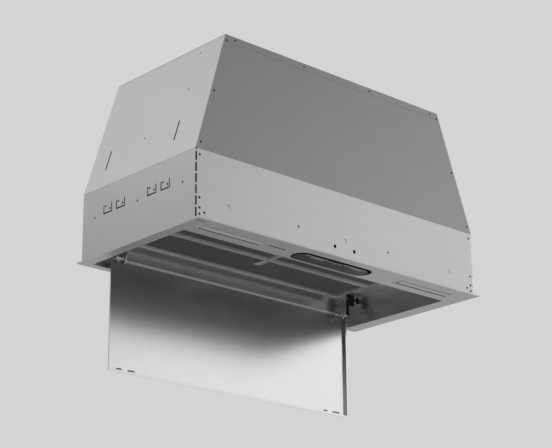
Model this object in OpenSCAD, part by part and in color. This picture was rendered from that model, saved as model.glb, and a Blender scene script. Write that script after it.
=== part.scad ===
// Range hood insert with a swing-down panel, built up into a cabinet.
// X runs across the front, -Y is the front and Z is up. The origin is the middle of the
// casing on the plane where the flange seats under the cabinet. Lengths are millimetres.

/* [Casing] */
// Width of the casing across the front
body_w = 860; // [820:1:1180]
// Depth of the casing from front to back
body_d = 390; // [380:1:460]
// Height of the upright walls above the cabinet seat
lower_h = 156; // [140:1:200]
// Height of the leaning walls above the upright ones
upper_h = 291.5; // [280:0.5:360]
// How far each end leans in up to the roof
end_lean = 91; // [40:1:110]
// How far the front leans back up to the roof
front_lean = 12; // [4:1:20]
// Thickness of the steel sheet
sheet_t = 1; // [0.8:0.1:1.4]
// Height of the roof's front rim
rim_h = 16.5; // [12:0.5:24]
// Height of the rims that the roof tucks inside the walls
tuck_h = 14; // [10:0.5:18]
// Gap where one sheet meets the next
seam_gap = 0.3; // [0.2:0.05:0.5]

/* [Flange and bottom frame] */
// How far the flange stands out at each end
flange_side = 4; // [3:0.5:12]
// How far the flange stands out at the front and the back
flange_front = 14; // [10:0.5:24]
// Thickness of the bottom frame
frame_t = 1.2; // [1:0.1:2]
// Width of the frame beside the opening under the filters
side_rail_w = 30; // [26:1:60]
// How far everything under the casing lies left of the casing's middle
under_shift = 5; // [0:0.5:8]
// Depth of the light rail, from the casing's front to the opening
rail_d = 68.4; // [64:0.2:90]
// Strip of frame between the opening and the casing's back
rear_strip = 5; // [4:0.5:10]

/* [Holes in the casing] */
// Radius of the small fixing holes
small_hole_r = 2.4; // [1:0.1:3]
// Radius of the cabinet screw holes in the front
front_hole_r = 4.2; // [2:0.1:5]
// Half the distance between the cabinet screw holes in the front
front_hole_x = 30; // [20:1:60]
// Height of the cabinet screw holes in the front
front_hole_z = 26; // [18:1:40]
// Half the distance between the spring clip holes in the front
clip_hole_x = 139.5; // [100:0.5:200]
// Height of the spring clip holes in the front
clip_hole_z = 47.5; // [40:0.5:60]
// Height of the half-moon nicks in the front
nick_z = 43.5; // [38:0.5:60]
// Distance of the outer half-moon nicks from the casing's ends
nick_inset = 88; // [60:1:120]
// Radius of a half-moon nick
nick_r = 6; // [4:0.5:8]
// Width of a half-moon nick
nick_w = 1.4; // [0.8:0.1:2]
// Distance of the corner rivet holes from the casing's end
corner_inset = 10; // [8:0.5:16]
// Radius of the corner rivet holes
corner_hole_r = 2.7; // [1.5:0.1:3.2]
// Number of slits along each perforated front corner
corner_slits = 6; // [4:1:8]
// Width of the slits along the front corners
corner_slit_w = 2.7; // [1:0.1:3.2]
// Uncut bridge between two slits of the front corner
corner_bridge = 4.8; // [3:0.2:8]
// Height of the relief notch at the top of each front corner
corner_relief_h = 3.2; // [2:0.2:5]

/* [Spring tabs in the ends] */
// Width of a spring tab
tab_w = 31; // [24:0.5:36]
// Height of a spring tab
tab_h = 21; // [16:0.5:26]
// Width of the cut round a spring tab
tab_cut = 3; // [1.5:0.1:4]
// Height of the tabs' free edge above the seat
tab_z = 91; // [80:1:110]
// Distance of the tabs' middle behind the casing's middle
tab_mid_y = 5.5; // [0:0.5:12]
// Half the distance between the inner two tabs
tab_near_y = 54.5; // [44:0.5:60]
// Distance from an inner tab to the outer one beside it
tab_pitch = 45; // [40:0.5:52]
// Half the distance between the two holes of a tab
tab_hole_y = 7.6; // [6:0.2:10]

/* [Slots in the leaning ends] */
// Width of a slanted slot
end_slot_w = 4; // [2:0.2:5]
// Length of a slanted slot
end_slot_l = 52; // [40:1:70]
// Distance of the front slot in front of the casing's middle
end_slot_front_y = 103; // [90:1:120]
// Distance of the rear slot behind the casing's middle
end_slot_rear_y = 136.5; // [120:0.5:150]
// Radius of the holes in the leaning ends
dot_r = 2; // [1:0.1:3]

/* [Filter deck] */
// Height of the filter deck above the seat
deck_h = 70; // [64:1:80]
// Depth of the filter support below the deck
support_h = 12; // [10:0.5:14]
// Distance of the filter support from the opening's ends
support_side_gap = 69; // [50:1:100]
// Distance of the filter support from the opening's front edge
support_front_gap = 36.5; // [24:0.5:44]
// Distance of the filter support from the opening's rear edge
support_rear_gap = 21; // [16:1:36]
// Distance from the support's rear edge to the middle of the bar between the filters
rear_bay_d = 117.5; // [100:0.5:140]
// Width of the support's front and middle bars
bar_w = 12; // [10:0.5:16]
// Width of the support's rear bar
rear_bar_w = 10; // [9:0.5:20]
// Width of the support's end bars
end_bar_w = 5; // [5:0.5:10]
// Width of the bar between the two front filters
cross_bar_w = 10; // [8:0.5:16]
// Gap round each filter in its bay
filter_gap = 1; // [0.6:0.1:1.5]
// Width of a filter's own rim
filter_rim = 4; // [4:0.5:8]
// Thickness of a filter
filter_t = 9; // [7:0.5:10]
// Thickness of the mesh pack inside a filter
mesh_t = 6; // [4:0.5:7]
// Width of a filter latch
latch_w = 18; // [14:0.5:24]
// Length of a filter latch
latch_l = 35; // [28:0.5:40]
// Thickness of a filter latch
latch_t = 1.5; // [1.2:0.1:2]
// Travel of a filter latch
latch_travel = 6; // [4:0.5:8]

/* [Swing panel] */
// Gap between the closed panel and the opening's ends
panel_side_gap = 36; // [32:0.5:50]
// How far the panel hangs right of the opening's middle
panel_shift = 1.6; // [0:0.1:3]
// Depth of the panel's tray
panel_h = 8; // [7:0.5:12]
// Width of the lip round the tray
lip_w = 3.5; // [3:0.5:6]
// Gap between the closed panel and the opening's front and rear edges
panel_gap = 30.3; // [28:0.1:36]
// Distance from the hinge pin to the panel's outer face
hinge_drop = 18.1; // [17:0.1:20]
// Radius of the hinge pins
pin_r = 2.5; // [2:0.1:3]
// Radial clearance of a pin that turns
run_gap = 0.05; // [0.02:0.01:0.09]
// Distance of the panel arms from the panel's ends
arm_inset = 23; // [12:1:40]
// Thickness of a panel arm
arm_t = 2; // [1.5:0.1:2.5]
// Distance of the hangers' legs from the opening's ends
hanger_inset = 36; // [32:1:44]
// Thickness of a hanger's leg
hanger_leg_t = 3; // [2.5:0.5:5]
// Height of a hanger's body
hanger_body_h = 26; // [22:0.5:28]
// Width of a hanger's body across the hood
hanger_body_w = 21; // [16:0.5:24]

/* [Light and controls] */
// Distance of a light bar's inner end from the casing's middle
light_in_x = 206; // [180:1:260]
// Width of a light bar
light_w = 24; // [20:0.5:26]
// Distance of a light bar's outer end from the casing's end
light_inset = 43; // [30:1:60]
// How far both light bars lie left of the opening's middle
light_shift = 9.5; // [0:0.5:12]
// Distance of the light bars behind the casing's front
light_y = 31; // [29:0.5:34]
// Length of the control recess
control_l = 232; // [220:1:260]
// Width of the control recess
control_w = 52; // [48:0.5:54]
// Depth of the control recess
control_h = 12; // [10:0.5:16]
// Length of the control bar
bar_l = 218; // [200:1:224]
// Depth of the control bar from front to back
bar_d = 41; // [38:0.5:43]
// Thickness of the control bar's plate
bar_t = 1.6; // [1.2:0.1:4]
// Distance between two buttons
button_pitch = 13.5; // [12:0.5:16]
// Width of a button
button_w = 9; // [7:0.5:10]
// Depth of a button from front to back
button_d = 6; // [5:0.5:8]
// Travel of a button
button_travel = 1; // [0.6:0.1:1.2]

/* [Blower] */
// Outer radius of the blower wheel
wheel_r = 75; // [70:1:78]
// Width of the blower wheel
wheel_w = 140; // [120:1:146]
// Number of blades on the wheel
blade_count = 30; // [24:1:36]
// Width of the scroll housing
scroll_w = 170; // [160:1:180]
// Gap between the wheel and the scroll's cut-off
cutoff_gap = 7; // [5:0.5:9]
// How much the scroll widens from the cut-off to the outlet
scroll_grow = 43; // [36:1:46]
// Radius of the motor
motor_r = 45; // [40:1:48]
// Radius of the motor's shaft
shaft_r = 4; // [3:0.5:5]

/* [Duct collar] */
// Outer radius of the duct collar
collar_r = 74.5; // [72:0.1:76]
// Height of the duct collar above the roof
collar_h = 50; // [45:1:60]
// Height of the flap pin above the roof
flap_z = 22; // [20:1:26]
// Distance of the collar behind the casing's middle
collar_y = 6; // [0:1:10]
// Radius of the flap pin
flap_pin_r = 2; // [1.5:0.1:2.5]

/* [Electrics] */
// Width of the electronics box
box_w = 110; // [90:1:114]
// Depth of the electronics box
box_d = 210; // [180:1:230]
// Height of the electronics box
box_h = 50; // [40:1:54]
// Radius of the power cable's hole through the gland
gland_hole_r = 4.5; // [3.5:0.5:5]
// Distance of the cable gland from the roof's right edge
gland_inset = 89; // [60:1:110]
// Distance of the cable gland from the roof's rear edge
gland_back = 55; // [40:1:80]

/* [Hidden] */

// Facets of round parts, of large ones and of nuts
$fn = 48;
large_facets = 96;
nut_facets = 6;
// An overrun that takes cuts past a face, and the length of a drill through sheet
over = 1;
drill_l = 6;

// Heights and planes that the pieces share
frame_bottom = -(sheet_t + frame_t);
roof_z = lower_h + upper_h;
roof_under = roof_z - sheet_t;
open_w = body_w - 2 * side_rail_w;
open_front_y = rail_d - body_d / 2;
open_rear_y = body_d / 2 - rear_strip;
panel_w = open_w - 2 * panel_side_gap;
panel_l = open_rear_y - open_front_y - 2 * panel_gap;
arm_x = panel_w / 2 - arm_inset;
hanger_x = open_w / 2 - hanger_inset;
light_l = body_w / 2 - light_inset - light_in_x;
light_x = light_in_x + light_l / 2;
end_angle = atan(end_lean / upper_h);
front_angle = atan(front_lean / upper_h);
end_slope_l = upper_h / cos(end_angle);
front_slope_l = upper_h / cos(front_angle);
deck_top = deck_h + sheet_t;
support_bottom = deck_h - support_h;
support_w = open_w - 2 * support_side_gap;
support_front_y = -(open_front_y + support_front_gap);
support_rear_y = open_rear_y - support_rear_gap;
mid_bar_y = support_rear_y - rear_bay_d;
gland_x = body_w / 2 - end_lean - gland_inset;
gland_y = body_d / 2 - gland_back;
nick_x = body_w / 2 - nick_inset;

// Colours, as seen in the photograph
steel = [0.72, 0.72, 0.73];
dark_steel = [0.5, 0.5, 0.52];
galvanised = [0.62, 0.64, 0.66];
mesh_grey = [0.24, 0.24, 0.25];
black = [0.05, 0.05, 0.055];
grey_plastic = [0.4, 0.4, 0.4];
lens_white = [0.92, 0.9, 0.84];
bright = [0.85, 0.85, 0.86];
board_green = [0.1, 0.35, 0.2];

// Half the casing's width at a height above the seat
function half_w(z) = body_w / 2 - end_lean * max(0, z - lower_h) / upper_h;

// Casing front's place at a height above the seat
function front_y(z) = front_lean * max(0, z - lower_h) / upper_h - body_d / 2;

// A block between two corners
module block(a, b) translate(a) cube(b - a);

// A hole along X, Y or Z through the given point
module hole_x(p, r, l) translate(p) rotate([0, 90, 0]) cylinder(r = r, h = l, center = true);
module hole_y(p, r, l) translate(p) rotate([90, 0, 0]) cylinder(r = r, h = l, center = true);
module hole_z(p, r, l) translate(p) cylinder(r = r, h = l, center = true);

// What lies under the casing, moved to its middle
module under() translate([-under_shift, 0, 0]) children();

// Both ends: the children as drawn at the left, and mirrored at the right
module both_ends() {
    children();
    mirror([1, 0, 0]) children();
}

// Plane of the leaning front: X across, Y up the slope, Z outwards
module on_front() translate([0, -body_d / 2, lower_h]) rotate([90 - front_angle, 0, 0]) children();

// Plane of the leaning left end: X towards the front, Y up the slope, Z outwards
module on_left_end()
    translate([-body_w / 2, 0, lower_h]) rotate([0, 0, -90]) rotate([90 - end_angle, 0, 0]) children();

/* Lower casing: front and end walls folded from one sheet, with the flange folded out along the bottom. */

// Heights of the rivet holes beside the front corners, as shares of the wall's height
corner_hole_shares = [0.915, 0.305, 0.165, 0.075];
// Height and extra inset of the odd rivet hole near the front corners, as shares of the same height
odd_hole_share = 0.11;
odd_inset_share = 0.083;
// Places of the end walls' plain holes, as shares of the casing's depth
end_hole_shares = [-0.39, 0, 0.39];
// Heights of the two holes in a tab, as shares of the tab's height
tab_hole_shares = [0.83, 0.45];

slit_l = (lower_h - corner_relief_h - (corner_slits + 1) * corner_bridge) / corner_slits;
nick_from_a = 100;
nick_to_a = -30;
nick_steps = 12;

// One U-shaped cut that frees a tab, and the tab's two holes, at the left end
module tab_cuts(y) {
    x = -body_w / 2;
    for (side = [-1, 1])
        block([x - over, y + side * (tab_w - tab_cut) / 2 - tab_cut / 2, tab_z],
              [x + sheet_t + over, y + side * (tab_w - tab_cut) / 2 + tab_cut / 2, tab_z + tab_h]);
    block([x - over, y - tab_w / 2, tab_z], [x + sheet_t + over, y + tab_w / 2, tab_z + tab_cut]);
    for (i = [0, 1])
        hole_x([x, y + (i == 0 ? tab_hole_y : -tab_hole_y), tab_z + tab_h * tab_hole_shares[i]],
               small_hole_r, drill_l);
}

// A half-moon nick through the front wall: a ring's sector, drawn out and back along its two radii
module nick(x) translate([x, sheet_t + over - body_d / 2, nick_z]) rotate([90, 0, 0])
    linear_extrude(sheet_t + 2 * over) polygon([
        for (out = [0, 1]) for (i = [0:nick_steps])
            let (k = out == 0 ? i : nick_steps - i)
            let (a = nick_from_a + (nick_to_a - nick_from_a) * k / nick_steps)
            (nick_r - out * nick_w) * [cos(a), sin(a)]
    ]);

// Everything cut in the left half of the lower casing
module lower_cuts_left() {
    x = -body_w / 2;
    y = -body_d / 2;
    for (i = [0:corner_slits - 1])
        translate([0, 0, corner_bridge + i * (slit_l + corner_bridge)])
            block([x - over, y - over, 0], [x + corner_slit_w, y + corner_slit_w, slit_l]);
    block([x - over, y - over, lower_h - corner_relief_h],
          [x + corner_slit_w, y + corner_slit_w, lower_h + over]);
    for (share = corner_hole_shares)
        hole_y([x + corner_inset, y, share * lower_h], corner_hole_r, drill_l);
    hole_y([x + corner_inset + odd_inset_share * lower_h, y, odd_hole_share * lower_h],
           corner_hole_r, drill_l);
    hole_y([-front_hole_x, y, front_hole_z], front_hole_r, drill_l);
    hole_y([-clip_hole_x, y, clip_hole_z], small_hole_r, drill_l);
    for (share = end_hole_shares)
        hole_x([x, share * body_d, tab_z], small_hole_r, drill_l);
    for (side = [-1, 1])
        for (out = [0, 1])
            tab_cuts(tab_mid_y + side * (tab_near_y + out * tab_pitch));
}

module lower_casing() color(steel) difference() {
    x = body_w / 2;
    y = body_d / 2;
    union() {
        difference() {
            block([-x, -y, -sheet_t], [x, y - sheet_t, lower_h]);
            block([-x + sheet_t, -y + sheet_t, -sheet_t - over], [x - sheet_t, y, lower_h + over]);
        }
        difference() {
            block([-x - flange_side, -y - flange_front, -sheet_t], [x + flange_side, y - sheet_t, 0]);
            block([-x + sheet_t, -y + sheet_t, -sheet_t - over], [x - sheet_t, y, over]);
        }
    }
    both_ends() lower_cuts_left();
    for (side = [-1:1]) nick(side * nick_x);
}

/* Rear casing: one flat sheet from the flange to the roof, with the rear flange folded out. */

// Cabinet screw holes near the back's upper corners
rear_hole_r = 3;
rear_hole_x = 250;
rear_hole_drop = 60;
rear_hole_z = roof_z - rear_hole_drop;

module rear_casing() color(steel) difference() {
    union() {
        translate([0, body_d / 2, 0]) rotate([90, 0, 0]) linear_extrude(sheet_t) polygon([
            [-body_w / 2, -sheet_t], [body_w / 2, -sheet_t], [body_w / 2, lower_h],
            [half_w(roof_under), roof_under], [-half_w(roof_under), roof_under], [-body_w / 2, lower_h]
        ]);
        block([-body_w / 2 - flange_side, body_d / 2 - sheet_t, -sheet_t],
              [body_w / 2 + flange_side, body_d / 2 + flange_front, 0]);
    }
    for (side = [-1, 1])
        hole_y([side * rear_hole_x, body_d / 2, rear_hole_z], rear_hole_r, drill_l);
}

/* Bottom frame: the finished sheet seen from below, cut for the opening, lights, sensor and controls. */

control_edge = 11;
control_y = control_w / 2 + control_edge - body_d / 2;
bar_gap = 2;
bar_y = control_y + control_w / 2 - bar_gap - bar_d / 2;
light_yc = light_y - body_d / 2;
sensor_w = 48;
sensor_gap = 20;
sensor_x = light_in_x + light_shift - sensor_gap - sensor_w / 2;
sensor_d = 5;
sensor_lead = 2;
sensor_y = light_yc - sensor_lead;
lens_gap = 0.4;

// A bar with round ends, along X
module capsule(l, w, h) linear_extrude(h) union() {
    square([l - w, w], center = true);
    for (side = [-1, 1]) translate([side * (l - w) / 2, 0]) circle(d = w);
}

// A slot in the frame's left front corner, under the casing's front wall
corner_slot_l = 26;
corner_slot_w = 3;

module bottom_frame() color(steel) difference() {
    block([-body_w / 2 - flange_side, -body_d / 2 - flange_front, frame_bottom],
          [body_w / 2 + flange_side, body_d / 2 + flange_front, -sheet_t]);
    under() {
        block([-open_w / 2, open_front_y, frame_bottom - over], [open_w / 2, open_rear_y, over]);
        for (side = [-1, 1]) translate([side * light_x - light_shift, light_yc, 0])
            block([-light_l / 2, -light_w / 2, frame_bottom - over], [light_l / 2, light_w / 2, over]);
        block([-sensor_x - sensor_w / 2, sensor_y - sensor_d / 2, frame_bottom - over],
              [-sensor_x + sensor_w / 2, sensor_y + sensor_d / 2, over]);
        translate([0, control_y, frame_bottom - over]) capsule(control_l, control_w, frame_t + 2 * over);
    }
    translate([-body_w / 2, -body_d / 2, 0])
        block([0, 0, frame_bottom - over], [corner_slot_l, corner_slot_w, -sheet_t + over]);
}

/* Leaning walls: a front sheet that covers the edges of the two end sheets. */

front_v0 = sheet_t * tan(front_angle) + seam_gap;
front_v1 = (upper_h - rim_h) / cos(front_angle) - seam_gap;
end_v0 = sheet_t * tan(end_angle) + seam_gap;
end_v1 = (upper_h - sheet_t - seam_gap) / cos(end_angle);
edge_hole_inset = 8;
// Laps folded behind the walls below and the roof's rim above, and their distance from the corners
lap_h = 16;
lap_rise = 8;
lap_inset = 24;
// Heights of the holes beside the leaning edges and in the ends, as shares of the leaning height
edge_hole_shares = [0.055, 0.5];
end_dots_shares = [[0.27, 0.93], [0.26, 0.61], [-0.04, 0.31]];
// Height of the slots' lower end, as a share of the slope
end_slot_share = 0.16;

// Half the leaning front's width at a distance up its slope
function front_half(v) = body_w / 2 - end_lean * v / front_slope_l;

module front_panel() color(dark_steel) {
    on_front() difference() {
        translate([0, 0, -sheet_t]) linear_extrude(sheet_t) polygon([
            [-front_half(front_v0), front_v0], [front_half(front_v0), front_v0],
            [front_half(front_v1), front_v1], [-front_half(front_v1), front_v1]
        ]);
        for (share = edge_hole_shares)
            for (side = [-1, 1])
                let (v = share * front_slope_l)
                hole_z([side * (front_half(v) - edge_hole_inset), v, 0], small_hole_r, drill_l);
    }
    // The upper lap, seated half a thickness deep in the sheet that it is part of
    on_front() translate([lap_inset - front_half(front_v1), front_v1 - lap_rise, -2 * sheet_t]) {
        cube([2 * (front_half(front_v1) - lap_inset), 2 * lap_rise, sheet_t]);
        cube([2 * (front_half(front_v1) - lap_inset), lap_rise, 3 * sheet_t / 2]);
    }
    block([lap_inset - body_w / 2, sheet_t - body_d / 2, lower_h - lap_h],
          [body_w / 2 - lap_inset, 2 * sheet_t - body_d / 2, lower_h + lap_rise]);
}

// Front edge of an end sheet, seen along its slope
function end_front(v) = body_d / 2 - front_lean * v / end_slope_l - sheet_t / cos(front_angle) - seam_gap;

module left_end_wall() {
    left_end_sheet();
    block([sheet_t - body_w / 2, lap_inset - body_d / 2, lower_h - lap_h],
          [2 * sheet_t - body_w / 2, body_d / 2 - lap_inset, lower_h + 2 * sheet_t]);
}

module left_end_sheet() on_left_end() difference() {
    translate([0, 0, -sheet_t]) linear_extrude(sheet_t) polygon([
        [sheet_t - body_d / 2, end_v0], [end_front(end_v0), end_v0],
        [end_front(end_v1), end_v1], [sheet_t - body_d / 2, end_v1]
    ]);
    for (u = [end_slot_front_y, -end_slot_rear_y])
        translate([u - end_slot_w / 2, end_slot_share * end_slope_l, -sheet_t - over])
            cube([end_slot_w, end_slot_l, sheet_t + 2 * over]);
    for (dot = end_dots_shares)
        hole_z([dot[0] * body_d, dot[1] * end_slope_l, 0], dot_r, drill_l);
}

module left_end_panel() color(steel) left_end_wall();
module right_end_panel() color(steel) mirror([1, 0, 0]) left_end_wall();

/* Roof: a flat sheet with a front rim in the plane of the front and rims tucked inside the other walls. */

rim_v0 = (upper_h - rim_h) / cos(front_angle);
duct_ledge = 2.5;
duct_hole_r = collar_r - duct_ledge;
tuck_in = sheet_t + seam_gap;
tuck_end_gap = 12;
rim_hole_rise = 3.2;
roof_screw_ring = 84;
roof_screw_angles = [45, 135, 225, 315];
screw_r = 1.5;

// One rim tucked inside the left end
module left_tucked_rim() on_left_end()
    translate([tuck_end_gap - body_d / 2, (upper_h - tuck_h) / cos(end_angle), -tuck_in - sheet_t])
        cube([body_d - front_lean - 2 * tuck_end_gap, tuck_h / cos(end_angle), sheet_t]);

// Places of the rim's holes across the front, as shares of the roof's half width
rim_hole_shares = [0.31, 0.92];

// The flat sheet and its front rim in one bend, cut at both ends along the leaning walls
module roof_sheet() {
    z0 = roof_z - rim_h;
    inset = sheet_t / cos(front_angle);
    intersection() {
        rotate([90, 0, 90]) linear_extrude(body_w, center = true) polygon([
            [body_d / 2, roof_z], [front_y(roof_z), roof_z], [front_y(z0), z0], [front_y(z0) + inset, z0],
            [front_y(roof_under) + inset, roof_under], [body_d / 2, roof_under]
        ]);
        rotate([90, 0, 0]) linear_extrude(2 * body_d, center = true) polygon([
            [-half_w(z0 - over), z0 - over], [half_w(z0 - over), z0 - over],
            [half_w(roof_z + over), roof_z + over], [-half_w(roof_z + over), roof_z + over]
        ]);
    }
}

module roof() color(steel) difference() {
    union() {
        roof_sheet();
        both_ends() left_tucked_rim();
        block([tuck_end_gap - half_w(roof_z), body_d / 2 - tuck_in - sheet_t, roof_z - tuck_h],
              [half_w(roof_z) - tuck_end_gap, body_d / 2 - tuck_in, roof_z - sheet_t / 2]);
    }
    hole_z([0, collar_y, roof_z], duct_hole_r, drill_l);
    hole_z([gland_x, gland_y, roof_z], gland_hole_r + sheet_t, drill_l);
    for (a = roof_screw_angles)
        hole_z([roof_screw_ring * cos(a), collar_y + roof_screw_ring * sin(a), roof_z], screw_r, drill_l);
    on_front() for (side = [-1, 1]) {
        for (share = rim_hole_shares)
            hole_z([side * share * half_w(roof_z), front_slope_l - rim_h / 2, 0], small_hole_r, drill_l);
        hole_z([side * (front_half(rim_v0) - edge_hole_inset), rim_v0 + rim_hole_rise, 0],
               small_hole_r, drill_l);
    }
}

/* Blind rivets that hold the back to the ends, seen from behind. */

rivet_r = 2.4;
rivet_h = 1;
rivet_inset = 12;
// Heights of the rivets as shares of the upright wall and of the leaning wall
lower_rivet_shares = [0.2, 0.5, 0.8];
upper_rivet_shares = [0.15, 0.5, 0.85];

module rivet(p) translate(p) rotate([-90, 0, 0]) cylinder(r = rivet_r, h = rivet_h);

module casing_rivets() color(bright) for (side = [-1, 1]) {
    for (share = lower_rivet_shares)
        rivet([side * (body_w / 2 - rivet_inset), body_d / 2, share * lower_h]);
    for (share = upper_rivet_shares) {
        z = lower_h + share * upper_h;
        rivet([side * (half_w(z) - rivet_inset), body_d / 2, z]);
    }
}

/* Filter deck, its support, and the filters in their three bays. */

support_x = support_w / 2;
bay_x1 = support_x - end_bar_w;
bay_rear = [-bay_x1, mid_bar_y + bar_w / 2, bay_x1, support_rear_y - rear_bar_w];
bay_left = [-bay_x1, bar_w - support_front_y, -cross_bar_w / 2, mid_bar_y - bar_w / 2];
bay_right = [cross_bar_w / 2, bay_left[1], bay_x1, bay_left[3]];
bays = [bay_rear, bay_left, bay_right];
window_inset = filter_gap + filter_rim;

// A block over a rectangle [x0, y0, x1, y1] that is drawn in by a margin
module over_rect(r, in, z0, z1) block([r[0] + in, r[1] + in, z0], [r[2] - in, r[3] - in, z1]);

module filter_deck() color(galvanised) difference() {
    over_rect([-body_w / 2, -body_d / 2, body_w / 2, body_d / 2], sheet_t, deck_h, deck_top);
    under() for (bay = bays) over_rect(bay, window_inset, deck_h - over, deck_top + over);
}

// Slots in the support's walls for the filters' tongues and latches
tongue_z = deck_h - support_h / 2;
tongue_t = 1.2;
tongue_w = 16;
tongue_l = 3;
slot_gap = 0.4;
bolt_w = 10;
bolt_l = 4;
latch_gap = 0.3;
guide_t = 1;
guide_lip = 1.8;
guide_short = 14;
// Places of the two tongues as shares of a filter's width, from its middle
tongue_shares = [-0.35, 0.35];

// Middle of a bay across the hood
function bay_x(bay) = (bay[0] + bay[2]) / 2;

module filter_support() color(steel) under() difference() {
    block([-support_x, -support_front_y, support_bottom], [support_x, support_rear_y, deck_h]);
    for (bay = bays) over_rect(bay, 0, support_bottom - over, deck_h + over);
    // The bars are channels that open upwards
    for (bar = [
        [-support_x, -support_front_y, support_x, bay_left[1]],
        [-support_x, bay_left[3], support_x, bay_rear[1]],
        [-support_x, bay_rear[3], support_x, support_rear_y],
        [-support_x, -support_front_y, bay_left[0], support_rear_y],
        [bay_right[2], -support_front_y, support_x, support_rear_y],
        [bay_left[2], -support_front_y, bay_right[0], bay_rear[1]]
    ]) over_rect(bar, sheet_t, support_bottom + sheet_t, deck_h + over);
    for (bay = bays) {
        for (share = tongue_shares)
            translate([bay_x(bay) + share * (bay[2] - bay[0]), bay[3], tongue_z])
                block([-tongue_w / 2 - slot_gap, -over, -tongue_t / 2 - slot_gap],
                      [tongue_w / 2 + slot_gap, sheet_t + over, tongue_t / 2 + slot_gap]);
        half_slot = bolt_w / 2 + slot_gap;
        half_slot_h = tongue_t / 2 + slot_gap;
        block([bay_x(bay) - half_slot, bay[1] - sheet_t - over, tongue_z - half_slot_h],
              [bay_x(bay) + half_slot, bay[1] + over, tongue_z + half_slot_h]);
    }
}

filter_bottom = support_bottom + latch_t + slot_gap;
filter_top = filter_bottom + filter_t;
latch_z = filter_bottom - latch_t - latch_gap;
mesh_bottom = filter_bottom + sheet_t;
guide_l = latch_l + latch_travel - guide_short;

// Front edge of a bay's latch
function latch_y(bay) = bay[1] + filter_gap + sheet_t + slot_gap;

// The opening for a latch's upright leg, which the leg travels along
module leg_slot(bay, z0, z1)
    block([bay_x(bay) - bolt_w / 2 - slot_gap, bay[1] + filter_gap + sheet_t, z0],
          [bay_x(bay) + bolt_w / 2 + slot_gap, latch_y(bay) + latch_t + latch_travel + slot_gap, z1]);

// The rim of one filter: a channel bent round the mesh, with two tongues at its rear
module filter_frame(bay) {
    difference() {
        over_rect(bay, filter_gap, filter_bottom, filter_top);
        over_rect(bay, window_inset, filter_bottom - over, filter_top + over);
        over_rect(bay, filter_gap + sheet_t, mesh_bottom, filter_top - sheet_t);
        half_slot = bolt_w / 2 + slot_gap;
        half_slot_h = tongue_t / 2 + slot_gap;
        block([bay_x(bay) - half_slot, bay[1], tongue_z - half_slot_h],
              [bay_x(bay) + half_slot, bay[1] + window_inset, tongue_z + half_slot_h]);
        leg_slot(bay, filter_bottom - over, mesh_bottom + over);
    }
    // Carrier plate for the latch, with a guide folded round each of the latch's edges
    half_carrier = latch_w / 2 + latch_gap + guide_t;
    difference() {
        union() {
            block([bay_x(bay) - half_carrier, bay[1] + filter_gap + sheet_t, filter_bottom],
                  [bay_x(bay) + half_carrier, latch_y(bay) + guide_l, mesh_bottom]);
            for (side = [-1, 1]) translate([bay_x(bay) + side * (latch_w / 2 + latch_gap), 0, 0]) {
                block([min(0, side * guide_t), latch_y(bay), latch_z - latch_gap - guide_t],
                      [max(0, side * guide_t), latch_y(bay) + guide_l, mesh_bottom]);
                block([min(side * guide_t, -side * guide_lip), latch_y(bay), latch_z - latch_gap - guide_t],
                      [max(side * guide_t, -side * guide_lip), latch_y(bay) + guide_l, latch_z - latch_gap]);
            }
        }
        leg_slot(bay, filter_bottom - over, mesh_bottom + over);
    }
    for (share = tongue_shares)
        translate([bay_x(bay) + share * (bay[2] - bay[0]), bay[3], tongue_z])
            block([-tongue_w / 2, -filter_gap - sheet_t, -tongue_t / 2],
                  [tongue_w / 2, tongue_l, tongue_t / 2]);
}

// The mesh pack lies in the channel and leaves room for the latch's leg
module filter_mesh(bay) difference() {
    over_rect(bay, filter_gap + sheet_t, mesh_bottom, mesh_bottom + mesh_t);
    leg_slot(bay, mesh_bottom - over, mesh_bottom + mesh_t + over);
}

// The latch: a thumb plate under the filter with a bolt that reaches over the bar
module filter_latch(bay) {
    x = bay_x(bay);
    y0 = latch_y(bay);
    block([x - latch_w / 2, y0, latch_z], [x + latch_w / 2, y0 + latch_l, latch_z + latch_t]);
    block([x - bolt_w / 2, y0, latch_z], [x + bolt_w / 2, y0 + latch_t, tongue_z + tongue_t / 2]);
    block([x - bolt_w / 2, bay[1] - bolt_l, tongue_z - tongue_t / 2],
          [x + bolt_w / 2, y0 + latch_t, tongue_z + tongue_t / 2]);
}

module front_left_filter_frame() color(steel) under() filter_frame(bay_left);
module front_right_filter_frame() color(steel) under() filter_frame(bay_right);
module rear_filter_frame() color(steel) under() filter_frame(bay_rear);
module front_left_filter_mesh() color(mesh_grey) under() filter_mesh(bay_left);
module front_right_filter_mesh() color(mesh_grey) under() filter_mesh(bay_right);
module rear_filter_mesh() color(mesh_grey) under() filter_mesh(bay_rear);
module front_left_filter_latch() color(bright) under() filter_latch(bay_left);
module front_right_filter_latch() color(bright) under() filter_latch(bay_right);
module rear_filter_latch() color(bright) under() filter_latch(bay_rear);

/* Light rail wall and liners: folded sheets between the bottom frame and the deck. */

fold_w = 12;
rail_fold_w = 3;

// The wall behind the lights and the controls, with a narrow fold on the frame and a wide one on the deck
module light_rail() color(steel) under() union() {
    block([-open_w / 2, open_front_y - sheet_t, -sheet_t], [open_w / 2, open_front_y, deck_h]);
    block([-open_w / 2, open_front_y - rail_fold_w, -sheet_t], [open_w / 2, open_front_y, 0]);
    block([-open_w / 2, open_front_y - fold_w, deck_h - sheet_t], [open_w / 2, open_front_y, deck_h]);
}

hinge_edge = 2.8;
hinge_y = open_rear_y - panel_gap - hinge_edge;
hinge_z = frame_bottom + hinge_drop;
hanger_top_gap = 0.6;
hanger_z = deck_h - hanger_body_h / 2 - hanger_top_gap;
hanger_bolt_r = 1.8;
hanger_bolt_rise = 4;
hanger_bolt_z = hanger_z + hanger_bolt_rise;
// Three holes in front of each hanger, as shares of the hanger's height and its distance to them
liner_hole_shares = [[-0.17, 0.49], [-0.36, 0.45], [-0.58, 0.46]];

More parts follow.
